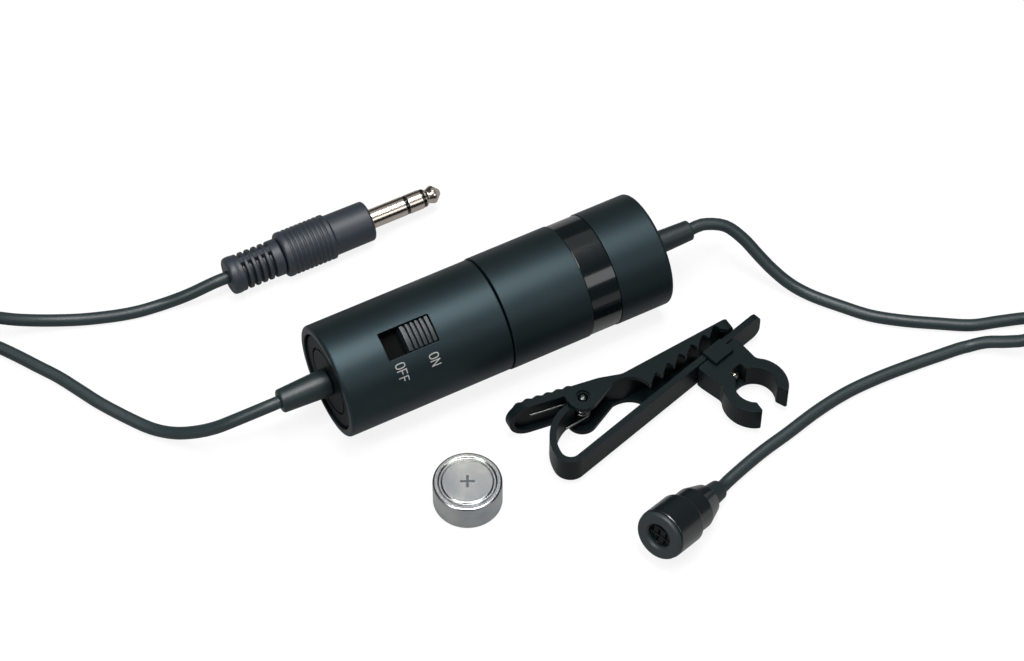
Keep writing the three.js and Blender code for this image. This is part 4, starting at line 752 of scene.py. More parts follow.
dress(addTurned("trimBand", [
    (bandStart, sleeveSet["groove"] + 0.02, 0), (bandStart, sleeveSet["bandTop"], 0.1),
    (bandEnd, sleeveSet["bandTop"], 0.1), (bandEnd, sleeveSet["groove"] + 0.02, 0),
], moduleFrame, True, 160), "bandGloss", "gloss_black", "sleeve", "trim_band")
endPlate("sleeveEndPlate", reliefSet["micFace"], 8.8, -1, "sleeve", "sleeve_end_plate")
dress(addTurned("micRelief", reliefCorners(
    reliefSet["micFace"], reliefSet["micRadii"], reliefSet["micLength"], 1), moduleFrame),
    "reliefRubber", "rubber", "mic_half", "mic_strain_relief")
print("sleeve done")


# Button cell
cellSet = {
    "radius": 5.8, "height": 5.4, "wall": 0.25, "gasket": 5.5, "gasketInner": 5.05, "cap": 5.0,
    "plusLength": 2.4, "plusWidth": 0.42, "plusRise": 0.06,
}
cellRadius, cellHeight = cellSet["radius"], cellSet["height"]
# The can and the cap take the steel with painted reflection patches.
dress(addTurned("cellCan", [
    (cellHeight - 0.02, 0, 0), (cellHeight - 0.02, 4.2, 0.3), (cellHeight - 0.2, 4.42, 0.12),
    (cellHeight - 0.2, 4.7, 0.12), (cellHeight, 4.95, 0.15), (cellHeight, cellRadius, 0.45),
    (0.1, cellRadius, 0.5), (0.1, 5.55, 0.05), (cellHeight - cellSet["wall"], 5.55, 0),
    (cellHeight - cellSet["wall"], 0, 0),
], cellFrame, False, 128), "cellSteelPaintedReflection", "steel", "cell", "cell_can")
dress(addTurned("cellGasket", [
    (0.12, cellSet["gasket"], 0.1), (4.4, cellSet["gasket"], 0), (4.4, cellSet["gasketInner"], 0),
    (0.12, cellSet["gasketInner"], 0.1),
], cellFrame, True, 96), "cellNylon", "gasket", "cell", "cell_gasket")
dress(addTurned("cellCap", [
    (0, 0, 0), (0, cellSet["cap"], 0.3), (4.3, cellSet["cap"], 0), (4.3, 4.75, 0), (0.35, 4.75, 0),
    (0.35, 0, 0),
], cellFrame, False, 96), "cellSteelPaintedReflection", "steel", "cell", "cell_cap")

# The plus sign is a cross outline, turned to face the table's front, raised a hair.
arm, wide = cellSet["plusLength"] / 2, cellSet["plusWidth"] / 2
cross = np.array([(-arm, -wide), (-wide, -wide), (-wide, -arm), (wide, -arm), (wide, -wide), (arm, -wide),
                  (arm, wide), (wide, wide), (wide, arm), (-wide, arm), (-wide, wide), (-arm, wide)])
crossTurn = turnAbout("Z", -27.7)[:2, :2]
plus = addPiece("cellPlus", [raisedPart(cross @ crossTurn.T, cellHeight - 0.06,
                                        cellHeight - 0.02 + cellSet["plusRise"])],
                (np.eye(3), cellFrame[1]))
dress(bevelled(plus, 0.03, 2), "cellMark", "steel", "cell")
print("cell done")


# Capsule
dress(addTurned("capsuleBezel", [
    (0, 2.45, 0.12), (0, 4.05, 0.25), (0.35, 4.25, 0.1), (0.8, 4.25, 0.1), (0.8, 2.15, 0),
    (0.3, 2.15, 0.1),
], capsuleFrame, True, 96), "capsuleRubber", "rubber", "mic_half", "capsule_bezel")

grilleSet = {
    "face": 0.95, "thickness": 0.4, "radius": 3.35, "opening": 2.15, "bar": 0.3, "bars": (-0.72, 0.72),
}


# Rounded bars: half an ellipse carried straight across the opening at even places.
def grilleBar(offset, upright):
    size = grilleSet
    turn = np.linspace(0, tau, 14, endpoint=False)
    reach = np.linspace(-1, 1, 9) * (size["radius"] - 0.4)
    x = size["face"] + size["thickness"] / 2 + size["thickness"] / 2 * np.cos(turn)
    aside = offset + size["bar"] / 2 * np.sin(turn)
    points = np.empty((len(reach), len(turn), 3))
    points[..., 0] = x
    points[..., 1 + upright] = reach[:, None]
    points[..., 2 - upright] = aside
    ring = np.arange(len(turn))
    last = (len(reach) - 1) * len(turn)
    faces = gridFaces(len(reach), len(turn), False, True).reshape(-1, 4).tolist()
    return points, [*faces, ring[::-1].tolist(), (ring + last).tolist()]


grilleRing = turnedPart([
    (grilleSet["face"], grilleSet["opening"] - 0.15, 0.1), (grilleSet["face"], grilleSet["radius"], 0),
    (grilleSet["face"] + grilleSet["thickness"], grilleSet["radius"], 0),
    (grilleSet["face"] + grilleSet["thickness"], grilleSet["opening"] - 0.15, 0.1),
], True, 72)
grille = addPiece("capsuleGrille", [
    grilleRing, *(grilleBar(offset, upright) for offset in grilleSet["bars"] for upright in (0, 1)),
], capsuleFrame)
dress(grille, "clipPlastic", "black_plastic", "mic_half", "capsule_grille")

dress(addTurned("capsuleFelt", [(1.5, 0, 0), (1.5, 3.35, 0.2), (2.3, 3.35, 0), (2.3, 0, 0)],
                capsuleFrame), "windscreenFelt", "felt", "mic_half", "capsule_felt")
dress(addTurned("capsuleFront", [
    (0.85, 3.5, 0), (0.85, 4.4, 0.22), (6.8, 4.4, 0.28), (6.8, 3.5, 0),
], capsuleFrame, True, 128), "capsuleGloss", "gloss_black", "mic_half", "capsule_front_housing")
dress(addTurned("capsuleRear", [
    (5.6, 2, 0), (5.6, 3.35, 0), (6.875, 3.35, 0), (6.875, 3.75, 0.12), (10.275, 3.75, 0.35),
    (13.5, 2.75, 0.25), (13.875, 2.35, 0.12), (13.875, 1.35, 0), (13.075, 1.35, 0), (13.075, 2, 0),
], capsuleFrame, True, 128), "capsuleGloss", "gloss_black", "mic_half", "capsule_rear_housing")
dress(addTurned("capsuleRelief", [
    (12.1, 0, 0), (12.1, 1.85, 0), (12.9, 1.85, 0), (12.9, 1.2, 0), (13.9, 1.2, 0), (13.9, 2, 0.2),
    (17.275, 1.7, 0.35), (17.275, 1.12, 0.08), (16.7, 1.12, 0), (16.7, 0, 0),
], capsuleFrame), "reliefRubber", "rubber", "mic_half", "capsule_strain_relief")
print("capsule done")


# Plug
dress(addTurned("plugTip", [
    (0, 0, 0), (0.02, 0.5, 0.25), (1.15, 1.6, 0.3), (1.6, 1.62, 0.2), (2.45, 1.22, 0.35),
    (3.05, 1.65, 0.1), (3.1, 1.65, 0), (3.1, 0.8, 0), (20, 0.8, 0), (20, 0, 0),
], plugFrame, False, 64), "plugNickel", "nickel", "switch_half", "plug_tip")
for name, node, start, end, radius, look, slot in (
        ("plugTipInsulator", "plug_tip_insulator", 3.1, 3.7, 1.66, "glossBlack", "gloss_black"),
        ("plugRing", "plug_ring", 3.7, 6.4, 1.75, "plugNickel", "nickel"),
        ("plugRingInsulator", "plug_ring_insulator", 6.4, 7.0, 1.70, "glossBlack", "gloss_black")):
    dress(addTurned(name, [(start, 0.85, 0), (start, radius, 0.08), (end, radius, 0.08), (end, 0.85, 0)],
                    plugFrame, True, 64), look, slot, "switch_half", node)
dress(addTurned("plugSleeve", [
    (7, 0.85, 0), (7, 1.75, 0.08), (13.95, 1.75, 0), (13.95, 2.15, 0.1), (19.5, 2.15, 0.1), (19.5, 0.85, 0),
], plugFrame, True, 64), "plugNickel", "nickel", "switch_half", "plug_sleeve")

gripSet = {
    "start": 14, "smooth": 21.5, "end": 31, "radius": 3.7, "ribRadius": 4.1, "ribs": 9, "ribDepth": 0.2,
    "bore": 2.25,
}


# The grip's profile: smooth, then a step up, then ribs at an even pitch.
def gripCorners(size):
    first, last = size["smooth"] + 1.0, size["end"] - 0.9
    pitch = (last - first) / size["ribs"]
    ribs = []
    for i in range(size["ribs"]):
        x = first + i * pitch
        ribs += [(x, size["ribRadius"], 0.08), (x + pitch * 0.2, size["ribRadius"] - size["ribDepth"], 0.06),
                 (x + pitch * 0.4, size["ribRadius"] - size["ribDepth"], 0.06),
                 (x + pitch * 0.6, size["ribRadius"], 0.08)]
    return [
        (20.3, 0, 0), (20.3, size["bore"], 0), (size["start"], size["bore"], 0.1),
        (size["start"], size["radius"] - 0.05, 0.5), (size["smooth"], size["radius"], 0.15),
        (size["smooth"] + 0.35, size["ribRadius"], 0.15), *ribs,
        (size["end"], size["ribRadius"], 0.55), (size["end"], 1.8, 0), (size["end"] - 3, 1.8, 0),
        (size["end"] - 3, 0, 0),
    ]


dress(addTurned("plugGrip", gripCorners(gripSet), plugFrame, False, 96), "gripRubber", "rubber",
      "switch_half", "plug_grip")

bendSet = {
    "start": 31.15, "length": 10, "radius": 3.3, "collar": 3.4, "core": 2.2, "ribs": 5, "band": 1.8,
    "spineHalf": 0.55, "tongue": 1.5,
}


# Rings on a thin core, joined on two sides by a spine, so that the relief bends one way.
def bendRelief(size):
    pitch = (size["length"] - 2 * size["band"]) / size["ribs"]
    corners = [(28.3, 0, 0), (28.3, size["tongue"], 0), (size["start"], size["tongue"], 0),
               (size["start"], size["radius"], 0.3)]
    for i in range(size["ribs"]):
        x = size["start"] + size["band"] + i * pitch
        corners += [(x, size["radius"], 0.2), (x, size["core"], 0.1),
                    (x + pitch * 0.45, size["core"], 0.1), (x + pitch * 0.45, size["radius"], 0.2)]
    end = size["start"] + size["length"]
    corners += [(end - size["band"], size["radius"], 0.1), (end - 1.2, size["collar"], 0.2),
                (end, size["collar"] - 0.1, 0.6), (end, 1.12, 0.1), (end - 0.8, 1.12, 0), (end - 0.8, 0, 0)]
    body = turnedPart(corners, False, 72)
    parts = [body]
    for side in (-1, 1):
        low, high = sorted((side * 1.9, side * (size["radius"] - 0.12)))
        parts.append(flatBlock((size["start"] + size["band"] - 0.2, end - size["band"] + 0.2),
                               (-size["spineHalf"], size["spineHalf"]), (low, high)))
    return parts


dress(addPiece("plugRelief", bendRelief(bendSet), plugFrame), "gripRubber", "rubber", "switch_half",
      "plug_strain_relief")
print("plug done")


# Clip
clipSet = {
    "pivot": (7.2, -20.7), "width": 7.5, "plate": 0.9, "back": 0.7, "sideGap": 0.25,
    "strip": 1.15, "heel": (-6.45, -7.7), "heelRadius": 2.3, "bladeDegrees": 16.1,
    "bladeLength": 42.8, "bladeCorner": 1.6, "eye": 1.5, "ear": 1.2, "springRoom": 1.9,
    "pin": 0.75, "pinHole": 0.87, "recess": 1.2, "recessDepth": 0.45,
    "boss": 2.7, "gripReach": 12.5, "gripTop": 2.55, "gripSlope": 6.93, "flange": 1.5,
    "ridges": 6, "ridgePitch": 1.8, "ridgeHeight": 0.3, "waist": (8, 0.95), "jaw": (29.4, 2.95),
    "jawGap": 0.15, "jawCorner": 1.4, "teeth": 7, "toothStart": 11, "toothPitch": 2.73,
    "toothGap": 1.1, "toothDepth": 1.25, "archTop": (6.9, 0.2), "neckDegrees": 28,
    "holderAt": 31.6, "holderWidth": 4.9, "holderBase": 9, "holderReach": 9.4, "ring": (3.6, 5.6),
    "notch": (2.6, 4.9), "notchFloor": 0.9, "past": 14,
    "neckDrop": 0.07, "hollowRadius": 2.85, "hollowStart": 2.8, "lug": (4.2, 2.1, 0.7), "rivetHole": 0.75,
}
clipFrame = (np.eye(3), np.array([*clipSet["pivot"], 0]))
bladeTurn = math.radians(clipSet["bladeDegrees"])
bladeAlong = np.array([math.cos(bladeTurn), math.sin(bladeTurn)])
bladeOut = np.array([math.sin(bladeTurn), -math.cos(bladeTurn)])
bladeRoot = np.array(clipSet["heel"]) + bladeOut * clipSet["heelRadius"]


# Points on a circle, from one angle to another in even steps of angle.
def arcPoints(centre, radius, first, last, steps):
    angle = np.radians(np.linspace(first, last, steps + 1))
    return np.stack([centre[0] + radius * np.cos(angle), centre[1] + radius * np.sin(angle)], 1)


# A spot by its distance along the blade and out from the blade's middle line.
def bladeSpots(spots):
    spots = np.asarray(spots, float)
    return bladeRoot + spots[..., :1] * bladeAlong + spots[..., 1:2] * bladeOut


# Height of the blade's gripping face over the pivot, a straight line that climbs at its angle.
def bladeFace(x):
    start = bladeSpots([(0, -clipSet["strip"] / 2)])[0]
    return start[1] + (x - start[0]) * math.tan(bladeTurn)


# A round post along Z: even points on a circle, carried from low to high.
def postPart(radius, low, high, spot=(0, 0), sides=64):
    return raisedPart(arcPoints(spot, radius, 0, 360 - 360 / sides, sides - 1), low, high)


# Joins shapes to a base and cuts others from it, keeps the result as one mesh, and rounds its
# sharp edges.
def shapedPiece(name, base, steps, edge, smoothAngle=26):
    piece = addPiece(name, [base], clipFrame)
    tools = []
    for kind, part in steps:
        tools.append(addPiece("tool", [part], clipFrame))
        change = piece.modifiers.new(kind, "BOOLEAN")
        change.operation, change.solver, change.object = kind, "EXACT", tools[-1]
    bpy.context.view_layer.update()
    ready = piece.evaluated_get(bpy.context.evaluated_depsgraph_get())
    mesh = bpy.data.meshes.new_from_object(ready)
    piece.modifiers.clear()
    piece.data = mesh
    for tool in tools:
        bpy.data.objects.remove(tool)
    tidy = bmesh.new()
    tidy.from_mesh(mesh)
    bmesh.ops.remove_doubles(tidy, verts=tidy.verts, dist=2e-6)
    bmesh.ops.dissolve_limit(tidy, angle_limit=math.radians(0.5), verts=tidy.verts,
                             edges=tidy.edges)
    tidy.to_mesh(mesh)
    tidy.free()
    mesh.name = name
    mesh.polygons.foreach_set("use_smooth", np.ones(len(mesh.polygons), bool))
    mesh.set_sharp_from_angle(angle=math.radians(smoothAngle))
    return bevelled(piece, edge, 3, smoothAngle)


# Two loops of as many points each, joined by quads and closed at both ends.
def joinedLoops(ends):
    count = len(ends[0])
    sides = gridFaces(2, count, False, True).reshape(-1, 4).tolist()
    return np.stack(ends), [*sides, list(range(count))[::-1], list(range(count, 2 * count))]


# A block turned with the blade: from, to along it, near, far out from it, low, high.
def bladeBlock(along, out, height):
    return raisedPart(bladeSpots([(along[0], out[0]), (along[1], out[0]), (along[1], out[1]),
                                  (along[0], out[1])])[::-1], *height)


# A post that lies square to the blade, turned from the Z axis to the blade's outward way.
def bladeBore(radius, near, far):
    angle = np.linspace(0, tau, 32, endpoint=False)
    ring = np.stack([radius * np.cos(angle), radius * np.sin(angle)], 1)
    ends = []
    for out in (near, far):
        flat = bladeSpots([(clipSet["holderAt"] + along, out) for along in ring[:, 0]])
        ends.append(np.c_[flat, clipSet["width"] / 2 + ring[:, 1]])
    return joinedLoops(ends)


# The strip runs down the stem, round the heel and along the blade: two lines half a strip to
# each side of arcs whose radius is the bend's own.
def clipStrip(size):
    half = size["strip"] / 2
    run = size["heelRadius"] - size["heel"][0]
    rise = -size["heel"][1]
    bend = (run**2 + rise**2) / (2 * run)
    stem = (size["heel"][0] - size["heelRadius"] + bend, size["heel"][1])
    top = math.degrees(math.atan2(rise, -stem[0]))
    turnEnd = 270 + size["bladeDegrees"]
    outline = np.vstack([
        arcPoints(stem, bend + half, top, 180, 28)[:-1],
        arcPoints(size["heel"], size["heelRadius"] + half, 180, turnEnd, 24),
        bladeSpots([(size["bladeLength"], half), (size["bladeLength"], -half)]),
        arcPoints(size["heel"], size["heelRadius"] - half, turnEnd, 180, 24),
        arcPoints(stem, bend - half, 180, top, 28)[1:],
    ])
    low = size["plate"] + size["sideGap"]
    high = size["width"] - low
    lugLength, lugReach, lugThickness = size["lug"]
    room = (high - low) / 2 - size["ear"]
    middle = size["width"] / 2
    steps = [("UNION", postPart(size["eye"], low, high))]
    for lugLow in (low - lugThickness, high - 0.05):
        steps.append(("UNION", bladeBlock(
            (size["holderAt"] - lugLength / 2, size["holderAt"] + lugLength / 2),
            (-half + 0.05, half + lugReach), (lugLow, lugLow + lugThickness + 0.05))))
    steps.append(("DIFFERENCE", postPart(size["springRoom"], middle - room, middle + room)))
    steps.append(("DIFFERENCE", postPart(size["pinHole"], -1, size["width"] + 1)))
    steps.append(("DIFFERENCE", bladeBore(size["rivetHole"], -2, 2)))
    for edge, inward in ((low, 1), (high, -1)):
        steps.append(("DIFFERENCE", bladeEndCut(size, edge, inward)))
    return raisedPart(outline, low, high), steps


# What is left outside a quarter circle at one corner of the blade's end, carried through it.
def bladeEndCut(size, edge, inward):
    corner = size["bladeCorner"]
    t = np.radians(np.linspace(90, 0, 11))
    along = size["bladeLength"] - corner + np.append(corner * np.cos(t), [corner + 1, corner + 1, 0])
    height = edge + inward * np.append(corner - corner * np.sin(t), [corner, -1, -1])
    ends = [np.c_[bladeSpots(np.c_[along, np.full(len(along), out)]), height] for out in (-2, 2)]
    return joinedLoops(ends)


dress(shapedPiece("clipBand", *clipStrip(clipSet), 0.14), "clipPlastic", "black_plastic",
      "clip", "clip_band")


# The lever's edge: ridged back, jaw, a wave for each tooth, a quarter ellipse for the arch, a
# straight neck that touches the round boss, and the grip's flange.
def leverOutline(size):
    reach, slope = size["gripReach"], math.tan(math.radians(size["gripSlope"]))
    back = lambda x: size["gripTop"] - x * slope
    ridge = np.arange(size["ridges"])[:, None] * size["ridgePitch"] - reach + 1.2
    shares, rises = np.array([0, 0.2, 0.42, 0.62, 0.85]), np.array([0, 0.55, 1, 0.8, 0.1])
    ridgeX = (ridge + shares * size["ridgePitch"]).ravel()
    ridgeY = back(ridgeX) + np.tile(rises, size["ridges"]) * size["ridgeHeight"]
    knee = size["waist"][0] / 2
    lip = bladeFace(size["jaw"][0]) + size["jawGap"] / math.cos(bladeTurn)
    t = np.linspace(0, 1, 13)[1:-1]
    wave = np.interp(t, (0, 0.12, 0.35, 0.5, 0.64, 0.74, 0.84, 0.92, 1),
                     (0, 0.1, 0.46, 0.74, 0.95, 1, 0.93, 0.6, 0))
    teeth = []
    crest = lambda i: bladeFace(size["toothStart"] + i * size["toothPitch"]) + size["toothGap"]
    for i in range(size["teeth"] - 1, 0, -1):
        teeth.append([(size["toothStart"] + i * size["toothPitch"], crest(i))])
        x = size["toothStart"] + (i - 1 + t) * size["toothPitch"]
        y = crest(i - 1) + (crest(i) - crest(i - 1)) * t + wave * size["toothDepth"]
        teeth.append(np.c_[x, y][::-1])
    turn = np.linspace(0, math.pi / 2, 21)
    top = size["archTop"]
    arch = np.c_[top[0] + (size["toothStart"] - top[0]) * np.cos(turn),
                 crest(0) + (top[1] - crest(0)) * np.sin(turn)]
    neck = math.radians(size["neckDegrees"])
    leave = size["neckDegrees"] - 90
    bossEdge = size["boss"] * np.array([math.sin(neck), -math.cos(neck)])
    neckHigh = top[1] - size["neckDrop"]
    neckTop = np.array([bossEdge[0] + (neckHigh - bossEdge[1]) / math.tan(neck), neckHigh])
    bend = np.array([neckTop + (arch[-1] - neckTop) * 0.5 + (0, 0.03)])
    boss = arcPoints((0, 0), size["boss"], leave, -170, 24)
    flangeEnd = -size["boss"] * 1.02
    return np.vstack([
        [(-reach, back(-reach))], np.c_[ridgeX, ridgeY], [(knee, back(knee))],
        roundedProfile([(knee, back(knee), 0), (*size["waist"], 3), (*size["jaw"], 0)])[1:-1],
        [size["jaw"], (size["jaw"][0] + 0.3, lip),
         (size["jaw"][0] - 1, lip - math.tan(bladeTurn) * 1.2)],
        *teeth, arch, bend, [neckTop], boss,
        [(flangeEnd, back(flangeEnd) - size["flange"]), (-reach, back(-reach) - size["flange"])],
    ])


# The lever seen on its back: a half circle at the finger end and cut corners at the jaw.
def leverPlan(size, inset):
    left, right = inset - size["gripReach"], size["jaw"][0] + 0.4 - inset
    low, high = inset, size["width"] - inset
    bend, corner = (high - low) / 2 - 0.02, size["jawCorner"] - inset
    plan = np.vstack([
        arcPoints((right - corner, low + corner), corner, -90, 0, 8),
        arcPoints((right - corner, high - corner), corner, 0, 90, 8),
        arcPoints((left + bend, high - bend), bend, 90, 180, 16),
        arcPoints((left + bend, low + bend), bend, 180, 270, 16),
    ])
    ends = [np.c_[plan[:, 0], np.full(len(plan), y), plan[:, 1]] for y in (-size["past"], size["past"])]
    return joinedLoops(ends)


# The hollow under the lever's back, open downwards, between the two side plates. Its plan is
# cut by the same outline as the back, one wall further in.
def leverRoom(size):
    reach, thick = size["gripReach"], size["back"]
    slope = math.tan(math.radians(size["gripSlope"]))
    back = lambda x: size["gripTop"] - x * slope - thick
    knee = size["waist"][0] / 2
    inset = size["plate"]
    endRadius = size["hollowRadius"]
    left = arcPoints((inset - reach + endRadius, size["width"] / 2), endRadius, 90, 270, 24)
    start, end = -reach + inset + size["hollowStart"], size["jaw"][0] - 0.5
    return [
        raisedPart([(start, back(start)), (knee, back(knee)), (size["waist"][0], size["waist"][1] - thick),
                    (end, size["jaw"][1] - 0.04 - thick), (end, -size["past"]), (start, -size["past"])],
                   inset, size["width"] - inset),
        hollowEnd(left, back),
    ]


# The round end of the hollow: its plan carried down from the sloping back.
def hollowEnd(plan, back):
    plan = np.vstack([plan, [(plan[0, 0] + 0.1, plan[-1, 1]), (plan[0, 0] + 0.1, plan[0, 1])]])
    ends = [np.c_[plan[:, 0], np.full(len(plan), -clipSet["past"]), plan[:, 1]],
            np.c_[plan[:, 0], back(plan[:, 0]), plan[:, 1]]]
    return joinedLoops(ends)


leverSteps = [("INTERSECT", leverPlan(clipSet, 0))]
leverSteps += [("DIFFERENCE", part) for part in leverRoom(clipSet)]
leverSteps.append(("DIFFERENCE", postPart(clipSet["pin"] + 0.15, -1, clipSet["width"] + 1)))
for recess in ((-1, clipSet["recessDepth"]),
               (clipSet["width"] - clipSet["recessDepth"], clipSet["width"] + 1)):
    leverSteps.append(("DIFFERENCE", postPart(clipSet["recess"], *recess)))
leverBlank = raisedPart(leverOutline(clipSet)[::-1], 0, clipSet["width"])
dress(shapedPiece("clipLever", leverBlank, leverSteps, 0.12), "clipPlastic", "black_plastic",
      "clip_lever", "clip_lever")


# The holder's edge in the blade's own frame: a base with fillets up to an open ring.
def holderOutline(size):
    inner, outer = size["ring"]
    half = size["strip"] / 2
    centre = (0, half + size["holderReach"])
    near = half + 0.15
    wide = size["holderBase"] / 2
    right = [
        (wide, near, 0.35), (wide, near + 1.4, 0.8), (4.08, 6.14, 1.4),
        *((x, y, 0) for x, y in arcPoints(centre, outer, -30, 46, 26)),
        (3.03, centre[1] + 4.71, 0.55), (2.5, centre[1] + 2.59, 0.35),
    ]
    right += [(x, y, 0) for x, y in arcPoints(centre, inner, 36, -90, 40)]
    left = [(-x, y, rounding) for x, y, rounding in right[::-1]]
    edge = roundedProfile([*right, *left], True, 6)
    return bladeSpots(edge + [size["holderAt"], 0])[::-1]


holderLow = (clipSet["width"] - clipSet["holderWidth"]) / 2
holderHigh = holderLow + clipSet["holderWidth"]
notchAt = clipSet["strip"] / 2 + clipSet["holderReach"] - clipSet["notch"][1]
notchWide = clipSet["notch"][0] / 2
dress(shapedPiece("micHolder", raisedPart(holderOutline(clipSet), holderLow, holderHigh), [
    ("DIFFERENCE", bladeBlock((clipSet["holderAt"] - notchWide, clipSet["holderAt"] + notchWide),
                              (notchAt, notchAt + 4), (holderLow + clipSet["notchFloor"], holderHigh + 1))),
    ("DIFFERENCE", bladeBore(clipSet["rivetHole"], -1, notchAt + 0.5)),
], 0.2), "clipPlastic", "black_plastic", "clip", "mic_holder")

pinFrame = (turnAbout("Y", -90), clipFrame[1])
dress(addTurned("clipPin", [
    (0.15, 0, 0), (0.17, 0.35, 0.2), (0.4, 0.75, 0.25), (7.1, 0.75, 0.25), (7.33, 0.35, 0.2), (7.35, 0, 0),
], pinFrame, False, 40), "darkSteel", "steel", "clip", "clip_pivot_pin")
rivetMiddle = bladeSpots([(clipSet["holderAt"], 0)])[0]
rivetFrame = (turnAbout("Z", clipSet["bladeDegrees"] - 90),
              clipFrame[1] + np.array([*rivetMiddle, clipSet["width"] / 2]))
dress(addTurned("holderRivet", [
    (-0.925, 0, 0), (-0.925, 1, 0.1), (-0.65, 1, 0), (-0.65, 0.6, 0), (5.15, 0.6, 0), (5.15, 1, 0.05),
    (5.45, 1, 0.2), (5.65, 0.5, 0.2), (5.65, 0, 0),
], rivetFrame, False, 40), "plugNickel", "nickel", "clip", "holder_rivet")

springSet = {
    "radius": 1.2, "wire": 0.2, "from": -83, "to": 83.07, "turns": 2, "pitch": 0.84, "legs": (4.2, 9),
}


# A helix about the pivot with two straight legs along its tangents.
def springLine(size):
    first, last = math.radians(size["from"]), math.radians(size["to"])
    sweep = last - first + tau * size["turns"]
    rise = size["pitch"] * sweep / tau
    angle = np.linspace(first, first + sweep, 60)
    z = clipSet["width"] / 2 - rise / 2 + rise * (angle - first) / sweep
    coil = np.stack([size["radius"] * np.cos(angle), size["radius"] * np.sin(angle), z], 1)
    start = coil[0] + np.array([math.sin(first), -math.cos(first), 0]) * size["legs"][0]
    end = coil[-1] + np.array([-math.sin(last), math.cos(last), 0]) * size["legs"][1]
    return np.vstack([start, coil, end]) + clipFrame[1]


clipSpring = addCurve("clipSpring", (springLine(springSet) + toOrigin) * mm, springSet["wire"], 3)
dress(clipSpring, "springSteel", "steel", "clip", "clip_spring")
print("clip done")


# Ties
tieSet = {"thickness": 0.5, "width": 2.4, "reach": 1.35, "corner": 1.3, "low": 0.54, "high": 10.75}


# A flat band whose closed path is a rectangle with round corners, in the plane through the
# coil's middle: the same path at two distances, at both edges of the band.
def addTie(name, centre, outer, inner, degrees, body, node):
    size = tieSet
    near, far = inner - size["reach"], outer + size["reach"]
    rings = []
    for grow in (0, size["thickness"]):
        corner = size["corner"] + grow
        box = [(near - grow, size["low"] - grow, corner), (far + grow, size["low"] - grow, corner),
               (far + grow, size["high"] + grow, corner), (near - grow, size["high"] + grow, corner)]
        rings.append(roundedProfile(box, True, 8))
    inside, outside = rings
    half = size["width"] / 2
    loop = np.stack([np.c_[line, np.full(len(line), across)] for line, across in (
        (inside, -half), (outside, -half), (outside, half), (inside, half))], 1)
    points = loop[..., [0, 2, 1]]
    place = (turnAbout("Z", degrees), np.array([*centre, 0]))
    faces = gridFaces(len(inside), 4, True, True).reshape(-1, 4)
    tie = addPiece(name, [(points, faces)], place)
    return dress(bevelled(tie, 0.12, 2, 50), "reliefRubber", "rubber", body, node)


for start, coil, outer, inner, body in (
        ("output", outputCoilSet, outputOuter, outputInner, "switch_half"),
        ("mic", micCoilSet, micOuter, micInner, "mic_half")):
    for i, end in enumerate(("Near", "Far")):
        addTie(f"{start}Tie{end}", coil["centre"], outer, inner, coil["ties"][i], body,
                           f"{start}_coil_tie_{end.lower()}")


# Floor and light
lightSet = {
    "world": 0.055, "floorSeen": 0.92, "floorBounce": 0.22, "glowSeen": 0.86, "glowGlossy": 0.16,
    "lamps": [  # name, place, aims at, width, height, watts
        ("keyLamp", (0.05, -0.01, 0.62), (0, 0, 0), 0.42, 0.16, 3.9),
        ("backLamp", (0.27, 0.52, 0.80), (0.02, 0, 0), 0.7, 0.55, 0.45),
        ("sideLamp", (-0.62, -0.22, 0.38), (0, 0, 0), 0.30, 0.40, 0.7),
        ("capsuleLamp", (-0.22, -0.05, 0.40), (0.035, -0.03, 0), 0.05, 0.30, 1.0),
        ("frontLamp", (0.25, -0.62, 0.52), (0, 0, 0), 0.40, 0.30, 0.8),
    ],
}
floorMesh = bpy.data.meshes.new("floor")
floorMesh.from_pydata([(-4, -4, 0), (4, -4, 0), (4, 4, 0), (-4, 4, 0)], [], [(0, 1, 2, 3)])
floor = bpy.data.objects.new("floor", floorMesh)
bpy.context.collection.objects.link(floor)
floor.location.z = -0.00005
floorMaterial = bpy.data.materials.new("floor")
floorMaterial.use_nodes = True
nodes, links = floorMaterial.node_tree.nodes, floorMaterial.node_tree.links
nodes.clear()
output, mix = nodes.new("ShaderNodeOutputMaterial"), nodes.new("ShaderNodeMixShader")
matte, glow = nodes.new("ShaderNodeBsdfDiffuse"), nodes.new("ShaderNodeEmission")
path, tone = nodes.new("ShaderNodeLightPath"), nodes.new("ShaderNodeMapRange")
seen, glossy, either = (nodes.new("ShaderNodeMath") for _ in range(3))
tone.inputs["To Min"].default_value = lightSet["floorBounce"]
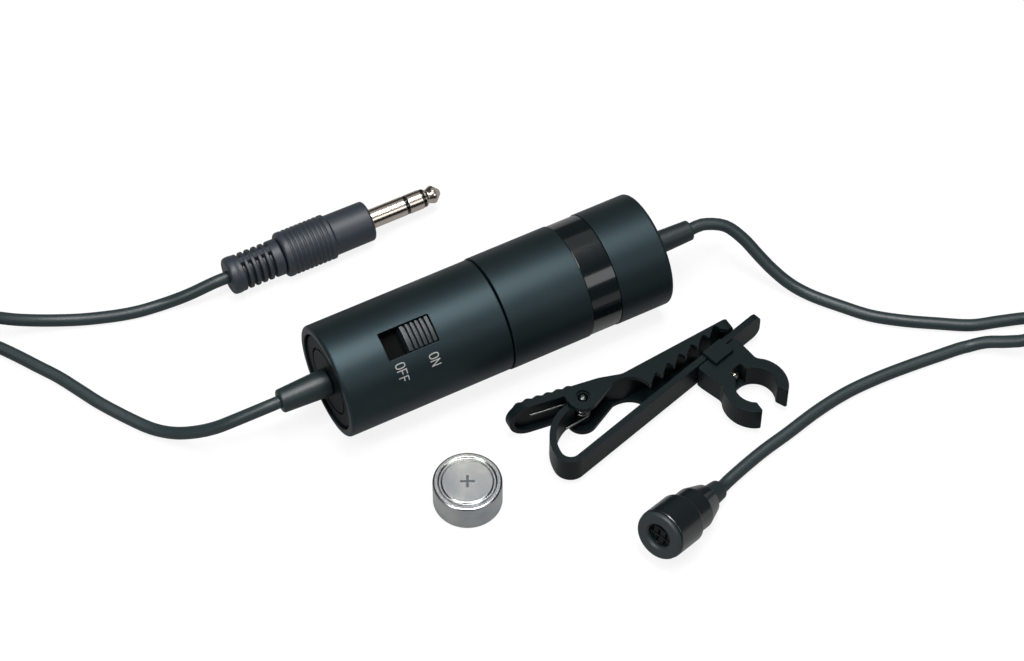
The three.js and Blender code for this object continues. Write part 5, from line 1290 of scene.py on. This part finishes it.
tone.inputs["To Max"].default_value = lightSet["floorSeen"]
seen.operation, glossy.operation, either.operation = "MULTIPLY", "MULTIPLY", "MAXIMUM"
seen.inputs[1].default_value = lightSet["glowSeen"]
glossy.inputs[1].default_value = lightSet["glowGlossy"]
links.new(path.outputs["Is Camera Ray"], tone.inputs["Value"])
links.new(tone.outputs["Result"], matte.inputs["Color"])
links.new(path.outputs["Is Camera Ray"], seen.inputs[0])
links.new(path.outputs["Is Glossy Ray"], glossy.inputs[0])
links.new(seen.outputs[0], either.inputs[0])
links.new(glossy.outputs[0], either.inputs[1])
links.new(either.outputs[0], mix.inputs["Fac"])
links.new(matte.outputs[0], mix.inputs[1])
links.new(glow.outputs[0], mix.inputs[2])
links.new(mix.outputs[0], output.inputs["Surface"])
floorMesh.materials.append(floorMaterial)

world = bpy.context.scene.world or bpy.data.worlds.new("world")
bpy.context.scene.world = world
world.use_nodes = True
nodes, links = world.node_tree.nodes, world.node_tree.links
nodes.clear()
output, mix = nodes.new("ShaderNodeOutputWorld"), nodes.new("ShaderNodeMixShader")
dim, white = nodes.new("ShaderNodeBackground"), nodes.new("ShaderNodeBackground")
path = nodes.new("ShaderNodeLightPath")
dim.inputs["Color"].default_value = (1, 1, 1, 1)
dim.inputs["Strength"].default_value = lightSet["world"]
white.inputs["Color"].default_value = (1, 1, 1, 1)
links.new(path.outputs["Is Camera Ray"], mix.inputs["Fac"])
links.new(dim.outputs[0], mix.inputs[1])
links.new(white.outputs[0], mix.inputs[2])
links.new(mix.outputs[0], output.inputs["Surface"])

for name, spot, aim, wide, high, power in lightSet["lamps"]:
    data = bpy.data.lights.new(name, "AREA")
    data.shape = "RECTANGLE"
    data.size, data.size_y, data.energy = wide, high, power
    lamp = bpy.data.objects.new(name, data)
    bpy.context.collection.objects.link(lamp)
    lamp.location = spot
    lamp.rotation_euler = (Vector(aim) - Vector(spot)).to_track_quat("-Z", "Y").to_euler()
bpy.context.scene.view_settings.view_transform = "Standard"

bpy.context.view_layer.update()
